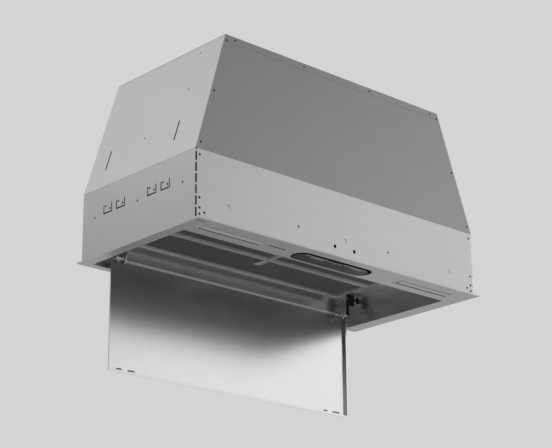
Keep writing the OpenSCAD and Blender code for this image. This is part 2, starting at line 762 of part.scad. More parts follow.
module left_liner_sheet() difference() {
    x = -open_w / 2;
    block([x - fold_w, open_front_y, -sheet_t], [x, open_rear_y, deck_h]);
    block([x - fold_w - over, open_front_y - over, 0], [x - sheet_t, open_rear_y + over, deck_h - sheet_t]);
    hole_x([x, hinge_y, hanger_bolt_z], hanger_bolt_r, drill_l);
    for (share = liner_hole_shares)
        hole_x([x, hinge_y + share[0] * hanger_z, share[1] * hanger_z], small_hole_r, drill_l);
}

module left_liner() color(steel) under() left_liner_sheet();
module right_liner() color(steel) under() mirror([1, 0, 0]) left_liner_sheet();

module rear_liner() color(steel) under() difference() {
    block([-open_w / 2, open_rear_y, -sheet_t], [open_w / 2, open_rear_y + sheet_t, deck_h]);
    for (share = liner_screw_shares) hole_y([share * open_w, open_rear_y, liner_screw_z], screw_r, drill_l);
}

// Screws through the rear liner, as shares of the opening's width
liner_screw_shares = [-0.18, 0, 0.18];
liner_screw_z = 46;
head_r = 3.5;
head_h = 1.6;

module liner_screws() color(bright) under() for (share = liner_screw_shares)
    translate([share * open_w, open_rear_y, liner_screw_z]) rotate([90, 0, 0]) {
        cylinder(r = head_r, h = head_h);
        translate([0, 0, -rear_strip + sheet_t]) cylinder(r = screw_r, h = rear_strip - sheet_t);
    }

/* Lights: a lens in each window of the frame, under a sheet box that holds the light strip. */

lens_t = 2.4;
lens_flange = 3;
lens_proud = 1;
lens_front_gap = 3;
lens_w = 14;
notch_l = 13;
notch_h = 1;
box_wall = 1;
light_box_h = 16;

// Middle of the light bar on one side of the hood
function light_mid(side) = [side * light_x - light_shift, light_yc, 0];

// A lens in its window: it leaves a gap behind it open, has a lower step at its left end, and lies on
// the frame with flanges along its front and at both ends
module lens() {
    x1 = light_l / 2 - lens_gap;
    y0 = lens_front_gap - light_w / 2;
    y1 = light_w / 2 - lens_gap;
    block([notch_l - light_l / 2, y0, frame_bottom - lens_proud], [x1, y0 + lens_w, lens_t - sheet_t]);
    block([-x1, y0, frame_bottom + notch_h], [notch_l - light_l / 2 + over, y1, lens_t - sheet_t]);
    block([-light_l / 2 - lens_flange, -light_w / 2 - lens_flange, -sheet_t],
          [light_l / 2 + lens_flange, y0 + over, lens_t - sheet_t]);
    block([-light_l / 2 - lens_flange, y0, -sheet_t], [over - x1, y0 + lens_w, lens_t - sheet_t]);
    block([x1 - over, y0, -sheet_t], [light_l / 2 + lens_flange, y0 + lens_w, lens_t - sheet_t]);
}

module light_box() difference() {
    x = light_l / 2 + lens_flange + seam_gap;
    y = light_w / 2 + lens_flange + seam_gap;
    block([-x - box_wall, -y - box_wall, -sheet_t], [x + box_wall, y + box_wall, light_box_h]);
    block([-x, -y, -sheet_t - over], [x, y, light_box_h - box_wall]);
}

module left_light_lens() color(lens_white) under() translate(light_mid(-1)) lens();
module right_light_lens() color(lens_white) under() translate(light_mid(1)) lens();
module left_light_box() color(galvanised) under() translate(light_mid(-1)) light_box();
module right_light_box() color(galvanised) under() translate(light_mid(1)) light_box();

module sensor_window() color(black) under()
    block([-sensor_x - sensor_w / 2 - lens_flange, sensor_y - sensor_d / 2 - lens_flange, -sheet_t],
          [-sensor_x + sensor_w / 2 + lens_flange, sensor_y + sensor_d / 2 + lens_flange, lens_t - sheet_t]);

/* Controls: a black recess let into the frame, with the control bar and its buttons inside. */

well_wall = 1.5;
well_top = frame_bottom + control_h;
well_flange = 2;
stem_gap = 0.3;
button_edge = 1.5;
button_y = bar_y - bar_d / 2 + button_d / 2 + button_edge;
button_proud = 0.8;
button_lip = 1;
bar_corner = 19;
bar_bottom = frame_bottom;
// The bar's block is set back from its plate's front and from its other edges
bar_block_setback = 23;
bar_block_inset = 6;

module control_well() color(black) under() translate([0, control_y, 0]) difference() {
    in_l = control_l - 2 * lens_gap;
    in_w = control_w - 2 * lens_gap;
    translate([0, 0, -sheet_t]) {
        capsule(control_l + 2 * well_flange, control_w + 2 * well_flange, well_wall);
        capsule(in_l + 2 * well_wall, in_w + 2 * well_wall, well_top + well_wall + sheet_t);
    }
    translate([0, 0, -sheet_t - over]) capsule(in_l, in_w, well_top + sheet_t + over);
    for (i = [-1:1]) translate([i * button_pitch, button_y - control_y, 0])
        block([-button_w / 2 - stem_gap - well_wall, -button_d / 2 - stem_gap, well_top - over],
              [button_w / 2 + stem_gap + well_wall, button_d / 2 + stem_gap, well_top + well_wall + over]);
}

// The bar: a plate that shows, carried by a block that reaches up to the recess
module control_bar() color(grey_plastic) under() difference() {
    union() {
        translate([0, bar_y, bar_bottom]) linear_extrude(bar_t) union() {
            square([bar_l - 2 * bar_corner, bar_d], center = true);
            square([bar_l, bar_d - 2 * bar_corner], center = true);
            for (sx = [-1, 1]) for (sy = [-1, 1])
                translate([sx * (bar_l / 2 - bar_corner), sy * (bar_d / 2 - bar_corner)])
                    circle(r = bar_corner);
        }
        block([bar_block_inset - bar_l / 2, bar_y - bar_d / 2 + bar_block_setback, bar_bottom + bar_t / 2],
              [bar_l / 2 - bar_block_inset, bar_y + bar_d / 2 - bar_block_inset, well_top]);
    }
    for (i = [-1:1]) translate([i * button_pitch, button_y, 0])
        block([-button_w / 2 - stem_gap, -button_d / 2 - stem_gap, bar_bottom - over],
              [button_w / 2 + stem_gap, button_d / 2 + stem_gap, bar_bottom + bar_t + over]);
}

// Circuit board above the recess; the buttons press the switches on it
board_t = 1.6;
board_z = well_top + well_wall;
board_w = 120;
board_d = 18;

module control_board() color(board_green) under() translate([0, button_y, board_z])
    block([-board_w / 2, -board_d / 2, 0], [board_w / 2, board_d / 2, board_t]);

// A button: a cap that shows, with side lips that stop it falling out and a stem up to the board
module button(i) under() translate([i * button_pitch, button_y, 0]) {
    lip_z = bar_bottom + bar_t + stem_gap;
    block([-button_w / 2, -button_d / 2, bar_bottom - button_proud],
          [button_w / 2, button_d / 2, board_z - button_travel - stem_gap]);
    block([-button_w / 2 - button_lip, -button_d / 2, lip_z],
          [button_w / 2 + button_lip, button_d / 2, lip_z + button_lip]);
}

module button_left() color(bright) button(-1);
module button_middle() color(bright) button(0);
module button_right() color(bright) button(1);

/* Swing panel, drawn hanging open: a shallow tray with lips, two arms and their pins. */

tray_back = hinge_y + hinge_drop;
tray_front = tray_back - panel_h;
tray_top = hinge_z + hinge_edge;
tray_bottom = tray_top - panel_l;
// The side lips end below the hinge
lip_end = 6;

module panel_tray() color(steel) under() translate([panel_shift, 0, 0]) difference() {
    union() {
        block([-panel_w / 2, tray_front, tray_bottom], [panel_w / 2, tray_back, tray_top]);
        block([-panel_w / 2 - lip_w, tray_front, tray_bottom - lip_w],
              [panel_w / 2 + lip_w, tray_front + sheet_t, tray_top - lip_end]);
    }
    block([-panel_w / 2 + sheet_t, tray_front - over, tray_bottom + sheet_t],
          [panel_w / 2 - sheet_t, tray_back - sheet_t, tray_top - sheet_t]);
}

// A panel arm is a plate beside the hinge, with a foot that lies on the tray's upper rim
arm_foot_w = 16;
arm_clear = 0.2;
arm_reach = hinge_drop - sheet_t;
// Front part of the arm's outline across the hinge, and its lower rear corner, as shares of its reach
arm_shares = [[1, 1], [-1.02, 1], [-0.87, 0.3], [-0.67, -0.46], [-0.32, -0.84]];
arm_low_share = -0.38;
arm_face_y = hinge_drop - panel_h - arm_clear;

module left_arm() {
    x = -arm_x;
    difference() {
        translate([x, hinge_y, hinge_z]) rotate([90, 0, 90]) linear_extrude(arm_t, center = true)
            polygon(concat(arm_reach * arm_shares, [
                [arm_face_y, arm_low_share * arm_reach], [arm_face_y, hinge_edge], [arm_reach, hinge_edge]
            ]));
        hole_x([x, hinge_y, hinge_z], pin_r, drill_l);
    }
    block([x, tray_front, tray_top], [x + arm_foot_w, hinge_y + arm_reach, tray_top + arm_t]);
}

pin_head_r = 4;
pin_head_h = 2;
pin_end_x = hanger_x + hanger_leg_t / 2 + seam_gap;

module left_pin() translate([-pin_end_x, hinge_y, hinge_z]) rotate([0, 90, 0]) {
    cylinder(r = pin_r, h = pin_end_x - arm_x + arm_t / 2 + over);
    translate([0, 0, pin_end_x - arm_x + arm_t / 2]) cylinder(r = pin_head_r, h = pin_head_h);
}

// A hanger: a leg down to the pin, a body bolted to the liner, and a spacer with a plate against it
hanger_end_r = 3.7;
hanger_leg_w = 6;
hanger_body_d = 6;
bolt_head_r = 3.2;
bolt_head_h = 2;
nut_h = 3;
spacer_r = 2.8;
wall_plate_t = 2.5;
wall_plate_h = 15;

module left_hanger_piece() difference() {
    union() {
        hole_x([-hanger_x, hinge_y, hinge_z], hanger_end_r, hanger_leg_t);
        block([-hanger_x - hanger_leg_t / 2, hinge_y - hanger_leg_w / 2, hinge_z],
              [-hanger_x + hanger_leg_t / 2, hinge_y + hanger_leg_w / 2, hanger_z + hanger_body_h / 2]);
        block([-hanger_x - hanger_body_w, hinge_y - hanger_body_d / 2, hanger_z - hanger_body_h / 2],
              [-hanger_x, hinge_y + hanger_body_d / 2, hanger_z + hanger_body_h / 2]);
        translate([-open_w / 2, hinge_y, hanger_bolt_z]) rotate([0, 90, 0])
            cylinder(r = spacer_r, h = open_w / 2 - hanger_x);
        block([-open_w / 2, hinge_y - spacer_r, hanger_bolt_z - wall_plate_h / 2],
              [-open_w / 2 + wall_plate_t, hinge_y + spacer_r, hanger_bolt_z + wall_plate_h / 2]);
    }
    hole_x([-hanger_x, hinge_y, hinge_z], pin_r + run_gap, hanger_leg_t + 2 * over);
    hole_x([-hanger_x, hinge_y, hanger_bolt_z], hanger_bolt_r, open_w);
}

module left_bolt() {
    end_x = open_w / 2 + sheet_t + nut_h + over;
    grip = end_x - hanger_x + hanger_leg_t / 2;
    translate([-end_x, hinge_y, hanger_bolt_z]) rotate([0, 90, 0]) {
        cylinder(r = hanger_bolt_r, h = grip + over);
        translate([0, 0, grip]) cylinder(r = bolt_head_r, h = bolt_head_h);
        translate([0, 0, over]) cylinder(r = bolt_head_r, h = nut_h, $fn = nut_facets);
    }
}

module left_panel_arm() color(steel) under() left_arm();
module right_panel_arm() color(steel) under() mirror([1, 0, 0]) left_arm();
module left_hinge_pin() color(bright) under() left_pin();
module right_hinge_pin() color(bright) under() mirror([1, 0, 0]) left_pin();
module left_hanger() color(black) under() left_hanger_piece();
module right_hanger() color(black) under() mirror([1, 0, 0]) left_hanger_piece();
module hanger_bolts() color(bright) under() both_ends() left_bolt();

/* Blower: a scroll between two inlet plates, hung from the roof by the outlet box. */

blower_gap = 15;
blower_back = 76;
blower_y = collar_y - blower_back;
scroll_r0 = wheel_r + cutoff_gap;
scroll_r1 = scroll_r0 + scroll_grow;
cutoff_a = 70;
scroll_end_a = 360;
scroll_steps = 40;
blower_z = deck_top + blower_gap + scroll_r(270);
outlet_rise = 110;
outlet_top = blower_z + outlet_rise;
throat_y0 = blower_y + scroll_r0 * cos(cutoff_a);
throat_y1 = blower_y + scroll_r1;

// Radius of the scroll: it grows evenly with the angle from the cut-off round to the outlet
function scroll_r(a) = scroll_r0 + scroll_grow * (a - cutoff_a) / (scroll_end_a - cutoff_a);

// Outline of the scroll, drawn in by a margin, from the cut-off round to the outlet
function scroll_outline(in) = concat(
    [[throat_y0 + in, outlet_top + (in > 0 ? over : 0)]],
    [for (i = [0:scroll_steps])
        let (a = cutoff_a + i * (scroll_end_a - cutoff_a) / scroll_steps, r = scroll_r(a) - in)
        [blower_y + r * cos(a) + (i == 0 ? in : 0), blower_z + r * sin(a)]],
    [[throat_y1 - in, outlet_top + (in > 0 ? over : 0)]]
);

module scroll_solid(in, w) rotate([90, 0, 90]) linear_extrude(w, center = true) polygon(scroll_outline(in));

module scroll_housing() color(galvanised) difference() {
    scroll_solid(0, scroll_w - 2 * sheet_t);
    scroll_solid(sheet_t, scroll_w + over);
}

inlet_step = 13;
inlet_r = wheel_r - inlet_step;
inlet_lip = 6;
inlet_cut_l = 20;

module left_inlet() difference() {
    union() {
        translate([-(scroll_w - sheet_t) / 2, 0, 0]) scroll_solid(0, sheet_t);
        translate([-scroll_w / 2 - inlet_lip, blower_y, blower_z]) rotate([0, 90, 0])
            cylinder(r = inlet_r + sheet_t, h = inlet_lip + sheet_t);
    }
    hole_x([-scroll_w / 2, blower_y, blower_z], inlet_r, inlet_cut_l);
}

module left_inlet_plate() color(galvanised) left_inlet();
module right_inlet_plate() color(galvanised) mirror([1, 0, 0]) left_inlet();

module outlet_box() color(galvanised) difference() {
    block([-scroll_w / 2, collar_y - collar_r, outlet_top], [scroll_w / 2, collar_y + collar_r, roof_under]);
    block([-scroll_w / 2 + sheet_t, collar_y - collar_r + sheet_t, outlet_top + sheet_t],
          [scroll_w / 2 - sheet_t, collar_y + collar_r - sheet_t, roof_under + over]);
    block([-scroll_w / 2 + sheet_t, throat_y0 + sheet_t, outlet_top - over],
          [scroll_w / 2 - sheet_t, throat_y1 - sheet_t, outlet_top + 2 * over]);
}

blade_d = 11;
blade_t = 1.2;
blade_short = 0.4;
hub_r = 14;
hub_l = 24;
ring_t = 3;

module blower_wheel() color(black) translate([0, blower_y, blower_z]) rotate([0, 90, 0]) difference() {
    union() {
        cylinder(r = wheel_r, h = ring_t, center = true);
        cylinder(r = hub_r, h = hub_l, center = true);
        for (side = [-1, 1]) translate([0, 0, side * (wheel_w - ring_t) / 2]) difference() {
            cylinder(r = wheel_r, h = ring_t, center = true);
            cylinder(r = wheel_r - blade_d, h = ring_t + over, center = true);
        }
        for (i = [0:blade_count - 1]) rotate([0, 0, i * 360 / blade_count])
            translate([wheel_r - blade_d, -blade_t / 2, -wheel_w / 2])
                cube([blade_d - blade_short, blade_t, wheel_w]);
    }
    cylinder(r = shaft_r, h = 2 * hub_l, center = true);
}

motor_gap = 3;
motor_x0 = hub_l / 2 + motor_gap;
motor_x1 = scroll_w / 2 + inlet_lip + sheet_t;

module motor_shaft() color(bright) translate([-hub_l / 2, blower_y, blower_z]) rotate([0, 90, 0])
    cylinder(r = shaft_r, h = hub_l / 2 + motor_x1 - sheet_t);

module motor() color(dark_steel) difference() {
    translate([motor_x0, blower_y, blower_z]) rotate([0, 90, 0])
        cylinder(r = motor_r, h = motor_x1 - motor_x0);
    hole_x([motor_x0, blower_y, blower_z], shaft_r + run_gap, 2 * (motor_x1 - motor_x0 - sheet_t));
}

arm_count = 3;
bracket_t = 2;
bracket_r = 27;
bracket_arm_w = 16;

module motor_bracket() color(galvanised) translate([motor_x1, blower_y, blower_z]) rotate([0, 90, 0]) {
    cylinder(r = bracket_r, h = bracket_t);
    for (i = [0:arm_count - 1]) rotate([0, 0, i * 360 / arm_count]) {
        translate([0, -bracket_arm_w / 2, 0]) cube([inlet_r + bracket_arm_w, bracket_arm_w, bracket_t]);
        translate([inlet_r + 2 * sheet_t, -bracket_arm_w / 2, -inlet_lip - sheet_t])
            cube([bracket_arm_w - 2 * sheet_t, bracket_arm_w, inlet_lip + 2 * sheet_t]);
    }
}

/* Duct collar on the roof, with two flaps that the air lifts and that fall shut. */

collar_base_r = 92;
base_t = 1.2;
screw_l = 6;
flap_clear = 1.5;
flap_r = collar_r - sheet_t - flap_clear;
flap_root = 3.7;
flap_knuckle_r = 3.2;
knuckle_l = 22;
flap_t = 1;
pin_z = roof_z + flap_z;
stop_w = 8;
stop_gap = 0.3;
// Angles of the dimples from the pin's cross direction
stop_angles = [-50, 50];

module duct_collar() color(galvanised) difference() {
    union() {
        translate([0, collar_y, roof_z]) cylinder(r = collar_base_r, h = base_t, $fn = large_facets);
        translate([0, collar_y, roof_z]) cylinder(r = collar_r, h = collar_h, $fn = large_facets);
    }
    difference() {
        translate([0, collar_y, roof_z - over])
            cylinder(r = collar_r - sheet_t, h = collar_h + 2 * over, $fn = large_facets);
        // Four dimples under the flaps hold them level
        for (side = [-1, 1]) for (a = stop_angles)
            translate([0, collar_y, pin_z - flap_t / 2 - stop_gap - sheet_t]) rotate([0, 0, side * 90 + a])
                translate([flap_r - stop_w / 2, -stop_w / 2, 0]) cube([stop_w, stop_w, sheet_t]);
    }
    hole_x([0, collar_y, pin_z], flap_pin_r, 4 * collar_r);
    for (a = roof_screw_angles)
        hole_z([roof_screw_ring * cos(a), collar_y + roof_screw_ring * sin(a), roof_z], screw_r, drill_l);
}

module flap_pin() color(bright) hole_x([0, collar_y, pin_z], flap_pin_r, 2 * collar_r);

module collar_screws() color(bright) for (a = roof_screw_angles)
    translate([roof_screw_ring * cos(a), collar_y + roof_screw_ring * sin(a), roof_z + base_t]) {
        cylinder(r = head_r, h = head_h);
        translate([0, 0, -screw_l]) cylinder(r = screw_r, h = screw_l);
    }

// One flap, opening upwards, on the rear side; its knuckles start at the given places along the pin
module flap(starts) difference() {
    union() {
        intersection() {
            translate([0, 0, -flap_t / 2]) cylinder(r = flap_r, h = flap_t);
            block([-flap_r, flap_root, -flap_t], [flap_r, flap_r, flap_t]);
        }
        for (x = starts) {
            translate([x, 0, 0]) rotate([0, 90, 0]) cylinder(r = flap_knuckle_r, h = knuckle_l);
            block([x, 0, -flap_t / 2], [x + knuckle_l, flap_root + over, flap_t / 2]);
        }
    }
    rotate([0, 90, 0]) cylinder(r = flap_pin_r + run_gap, h = 4 * flap_r, center = true);
}

knuckle_gap = 2;
knuckle_step = knuckle_l + knuckle_gap;

module rear_flap() color(galvanised) translate([0, collar_y, pin_z])
    flap([-2 * knuckle_step, over]);
module front_flap() color(galvanised) translate([0, collar_y, pin_z]) rotate([0, 0, 180])
    flap([-2 * knuckle_step, over]);

/* Electronics beside the blower, and the gland in the roof where the power cable comes in. */

box_side_gap = 4;
box_rear_gap = 30;
box_x = body_w / 2 - sheet_t - box_w - box_side_gap;
box_y = body_d / 2 - box_rear_gap - box_d;
lid_t = 1;

module electronics_box() color(galvanised) difference() {
    block([box_x, box_y, deck_top], [box_x + box_w, box_y + box_d, deck_top + box_h]);
    block([box_x + sheet_t, box_y + sheet_t, deck_top + sheet_t],
          [box_x + box_w - sheet_t, box_y + box_d - sheet_t, deck_top + box_h + over]);
}

module electronics_lid() color(galvanised)
    block([box_x, box_y, deck_top + box_h], [box_x + box_w, box_y + box_d, deck_top + box_h + lid_t]);

gland_r = 11;
gland_cap_r = 9;
gland_h = 18;
gland_nut_h = 6;

module cable_gland() color(black) translate([gland_x, gland_y, 0]) difference() {
    union() {
        translate([0, 0, roof_z]) cylinder(r = gland_r, h = gland_nut_h, $fn = nut_facets);
        translate([0, 0, roof_z]) cylinder(r = gland_cap_r, h = gland_h);
        translate([0, 0, roof_under - gland_nut_h]) cylinder(r = gland_r, h = gland_nut_h, $fn = nut_facets);
        translate([0, 0, roof_under - over]) cylinder(r = gland_hole_r + sheet_t, h = sheet_t + 2 * over);
    }
    translate([0, 0, roof_under - gland_nut_h - over])
        cylinder(r = gland_hole_r, h = gland_h + gland_nut_h + sheet_t + 2 * over);
}

lower_casing();
rear_casing();
bottom_frame();
front_panel();
left_end_panel();
right_end_panel();
roof();
casing_rivets();
filter_deck();
filter_support();
light_rail();
left_liner();
right_liner();
rear_liner();
liner_screws();
front_left_filter_frame();
front_left_filter_mesh();
front_left_filter_latch();
front_right_filter_frame();
front_right_filter_mesh();
front_right_filter_latch();
rear_filter_frame();
rear_filter_mesh();
rear_filter_latch();
left_light_box();
right_light_box();
left_light_lens();
right_light_lens();
sensor_window();
control_well();
control_bar();
control_board();
button_left();
button_middle();
button_right();
panel_tray();
left_panel_arm();
right_panel_arm();
left_hinge_pin();
right_hinge_pin();
left_hanger();
right_hanger();
hanger_bolts();
scroll_housing();
left_inlet_plate();
right_inlet_plate();
outlet_box();
blower_wheel();
motor_shaft();
motor();
motor_bracket();
duct_collar();
collar_screws();
flap_pin();
front_flap();
rear_flap();
electronics_box();
electronics_lid();
cable_gland();
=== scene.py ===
# Range hood insert with a swing-down panel, seen from below at the front left. All is in metres in the
# model's own frame: X to the right, Y to the rear, Z up from the plane where the flange seats under the
# cabinet.
import math

import bmesh
import bpy
import numpy as np
from mathutils import Matrix, Vector


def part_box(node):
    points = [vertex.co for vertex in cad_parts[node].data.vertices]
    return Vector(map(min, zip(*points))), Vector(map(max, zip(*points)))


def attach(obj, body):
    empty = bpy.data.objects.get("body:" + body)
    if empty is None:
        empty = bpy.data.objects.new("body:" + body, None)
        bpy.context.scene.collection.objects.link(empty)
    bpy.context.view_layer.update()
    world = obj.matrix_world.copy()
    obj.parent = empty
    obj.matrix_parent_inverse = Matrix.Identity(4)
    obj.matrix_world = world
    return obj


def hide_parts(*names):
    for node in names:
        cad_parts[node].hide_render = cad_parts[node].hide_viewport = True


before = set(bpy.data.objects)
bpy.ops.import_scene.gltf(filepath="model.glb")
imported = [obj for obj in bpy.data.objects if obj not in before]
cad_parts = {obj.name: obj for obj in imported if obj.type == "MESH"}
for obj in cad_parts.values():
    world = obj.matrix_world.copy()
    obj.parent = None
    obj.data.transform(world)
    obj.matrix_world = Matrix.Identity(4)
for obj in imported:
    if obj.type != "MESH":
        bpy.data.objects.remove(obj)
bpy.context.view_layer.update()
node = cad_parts


# Camera. It stands low in front of the hood's left corner and looks up at 19 degrees with a
# long lens, which was fitted to the casing's corners in the photograph.
CAMERA_PLACE = Vector((-2.5334, -2.7155, -1.1443))
CAMERA_AZIMUTH = math.radians(-42.7153)
CAMERA_ELEVATION = math.radians(-19.0145)
CAMERA_ROLL = math.radians(-0.5176)
LENS_MM = 110.673
SENSOR_MM = 36.0

back = Vector(
    (
        math.sin(CAMERA_AZIMUTH) * math.cos(CAMERA_ELEVATION),
        -math.cos(CAMERA_AZIMUTH) * math.cos(CAMERA_ELEVATION),
        math.sin(CAMERA_ELEVATION),
    )
)
level_right = (-back).cross(Vector((0, 0, 1))).normalized()
level_up = level_right.cross(-back)
right = level_right * math.cos(CAMERA_ROLL) + level_up * math.sin(CAMERA_ROLL)
up = level_up * math.cos(CAMERA_ROLL) - level_right * math.sin(CAMERA_ROLL)
camera = bpy.data.objects.new("camera", bpy.data.cameras.new("camera"))
camera.data.lens = LENS_MM
camera.data.sensor_width = SENSOR_MM
camera.data.clip_end = 50
camera.matrix_world = Matrix.Translation(CAMERA_PLACE) @ Matrix((right, up, back)).transposed().to_4x4()
bpy.context.collection.objects.link(camera)
bpy.context.scene.camera = camera


# Studio. A pale backdrop that the camera, metal and glass see, an even world for the rest, two large
# soft lamps, and a pale floor far under the hood that can be looked through from beneath.
BACKDROP = (0.66, 0.66, 0.665, 1)
WORLD_LIGHT = 0.7
FLOOR_Z = -1.6
FLOOR_HALF = 6.0
FLOOR_COLOUR = (0.72, 0.72, 0.72, 1)
# Name, place, point aimed at, width and height in metres, and power in watts
LAMPS = (
    ("right_lamp", (2.6, -2.2, 1.0), (0, 0, 0), 2.6, 2.0, 16),
    ("left_lamp", (-2.2, 2.1, 2.3), (-0.2, 0, 0.2), 2.4, 2.0, 16),
)

bpy.context.scene.view_settings.view_transform = "Standard"
world = bpy.data.worlds.new("studio")
bpy.context.scene.world = world
world.use_nodes = True
tree = world.node_tree
tree.nodes.clear()
paths = tree.nodes.new("ShaderNodeLightPath")
even_light = tree.nodes.new("ShaderNodeBackground")
even_light.inputs["Color"].default_value = (1, 1, 1, 1)
even_light.inputs["Strength"].default_value = WORLD_LIGHT
seen_backdrop = tree.nodes.new("ShaderNodeBackground")
seen_backdrop.inputs["Color"].default_value = BACKDROP
seen_backdrop.inputs["Strength"].default_value = 1
camera_or_glossy = tree.nodes.new("ShaderNodeMath")
camera_or_glossy.operation = "MAXIMUM"
tree.links.new(paths.outputs["Is Camera Ray"], camera_or_glossy.inputs[0])
tree.links.new(paths.outputs["Is Glossy Ray"], camera_or_glossy.inputs[1])
or_through_glass = tree.nodes.new("ShaderNodeMath")
or_through_glass.operation = "MAXIMUM"
tree.links.new(camera_or_glossy.outputs["Value"], or_through_glass.inputs[0])
tree.links.new(paths.outputs["Is Transmission Ray"], or_through_glass.inputs[1])
choose = tree.nodes.new("ShaderNodeMixShader")
world_out = tree.nodes.new("ShaderNodeOutputWorld")
tree.links.new(or_through_glass.outputs["Value"], choose.inputs["Fac"])
tree.links.new(even_light.outputs["Background"], choose.inputs[1])
tree.links.new(seen_backdrop.outputs["Background"], choose.inputs[2])
tree.links.new(choose.outputs["Shader"], world_out.inputs["Surface"])

for name, place, aim, width, height, power in LAMPS:
    lamp = bpy.data.lights.new(name, "AREA")
    lamp.shape = "RECTANGLE"
    lamp.size = width
    lamp.size_y = height
    lamp.energy = power
    lamp_object = bpy.data.objects.new(name, lamp)
    lamp_object.location = place
    lamp_object.rotation_euler = (Vector(aim) - Vector(place)).to_track_quat("-Z", "Y").to_euler()
    bpy.context.collection.objects.link(lamp_object)

corner_signs = np.array([[-1, -1, 0], [1, -1, 0], [1, 1, 0], [-1, 1, 0]])
floor_corners = FLOOR_HALF * corner_signs + (0, 0, FLOOR_Z)
floor_mesh = bpy.data.meshes.new("floor")
floor_mesh.from_pydata(floor_corners.tolist(), [], [(0, 1, 2, 3)])
floor = bpy.data.objects.new("floor", floor_mesh)
bpy.context.collection.objects.link(floor)
floor_material = bpy.data.materials.new("pale_floor")
floor_material.use_nodes = True
tree = floor_material.node_tree
floor_shader = tree.nodes["Principled BSDF"]
floor_shader.inputs["Base Color"].default_value = FLOOR_COLOUR
floor_shader.inputs["Roughness"].default_value = 0.9
from_below = tree.nodes.new("ShaderNodeNewGeometry")
clear = tree.nodes.new("ShaderNodeBsdfTransparent")
choose = tree.nodes.new("ShaderNodeMixShader")
tree.links.new(from_below.outputs["Backfacing"], choose.inputs["Fac"])
tree.links.new(floor_shader.outputs["BSDF"], choose.inputs[1])
tree.links.new(clear.outputs["BSDF"], choose.inputs[2])
tree.links.new(choose.outputs["Shader"], tree.nodes["Material Output"].inputs["Surface"])
floor_mesh.materials.append(floor_material)


# Casing walls. Bare rolled steel sheet, punched, folded along the flange and riveted behind: the upright
# front with its ends in one sheet, the flat rear, and the leaning ends. The mill's grain runs along the
# hood, handling has left faint clouds on it, and the folds are softly rounded.
FOLD_RADIUS = 0.0006
# A noise runs from 0 to 1, and nearly all of it lies between these two
NOISE_LOW = 0.3
NOISE_HIGH = 0.7
# The clouds shade a sheet by this share of what the grain does
CLOUD_SHARE = 1 / 3


def new_group(name, inputs, outputs):
    """An empty shader node group with number inputs (name, value) and number outputs."""
    group = bpy.data.node_groups.new(name, "ShaderNodeTree")
    for socket_name, value in inputs:
        socket = group.interface.new_socket(socket_name, in_out="INPUT", socket_type="NodeSocketFloat")
        socket.default_value = value
    for socket_name in outputs:
        group.interface.new_socket(socket_name, in_out="OUTPUT", socket_type="NodeSocketFloat")
    return group, group.nodes.new("NodeGroupInput"), group.nodes.new("NodeGroupOutput")


def ramp(tree, source, low, high, out_low, out_high):
    """A Map Range node that takes low..high of the source to out_low..out_high."""
    spread = tree.nodes.new("ShaderNodeMapRange")
    spread.inputs["From Min"].default_value = low
    spread.inputs["From Max"].default_value = high
    spread.inputs["To Min"].default_value = out_low
    spread.inputs["To Max"].default_value = out_high
    tree.links.new(source, spread.inputs["Value"])
    return spread.outputs["Result"]


def noise_ramp(tree, source, out_low, out_high):
    """A ramp over the stretch in which nearly all of a noise lies."""
    return ramp(tree, source, NOISE_LOW, NOISE_HIGH, out_low, out_high)


def sheet_grain_group():
    """Rolled sheet: noise drawn out along one direction for the grain, and slow noise for clouds and scuffs.

    Along, Across and Up say how often the grain repeats per metre in X, Y and Z. All come out from 0 to 1.
    """
    group, entry, leave = new_group(
        "sheet_grain", (("Along", 6.0), ("Across", 900.0), ("Up", 900.0)), ("Grain", "Clouds", "Scuffs")
    )
    nodes, links = group.nodes, group.links
    place = nodes.new("ShaderNodeTexCoord")
    stretch = nodes.new("ShaderNodeCombineXYZ")
    for i, socket_name in enumerate(("Along", "Across", "Up")):
        links.new(entry.outputs[socket_name], stretch.inputs[i])
    scaled = nodes.new("ShaderNodeVectorMath")
    scaled.operation = "MULTIPLY"
    links.new(place.outputs["Object"], scaled.inputs[0])
    links.new(stretch.outputs["Vector"], scaled.inputs[1])
    # Output, scale, detail, roughness and distortion of each noise
    for socket_name, scale, detail, rough, swirl in (
        ("Grain", 1.0, 4.0, 0.6, 0.0),
        ("Clouds", 7.0, 5.0, 0.55, 0.0),
        ("Scuffs", 65.0, 6.0, 0.7, 0.6),
    ):
        noise = nodes.new("ShaderNodeTexNoise")
        noise.inputs["Scale"].default_value = scale
        noise.inputs["Detail"].default_value = detail
        noise.inputs["Roughness"].default_value = rough
        noise.inputs["Distortion"].default_value = swirl
        drawn_out = socket_name == "Grain"
        links.new(scaled.outputs["Vector"] if drawn_out else place.outputs["Object"], noise.inputs["Vector"])
        links.new(noise.outputs["Fac"], leave.inputs[socket_name])
    return group


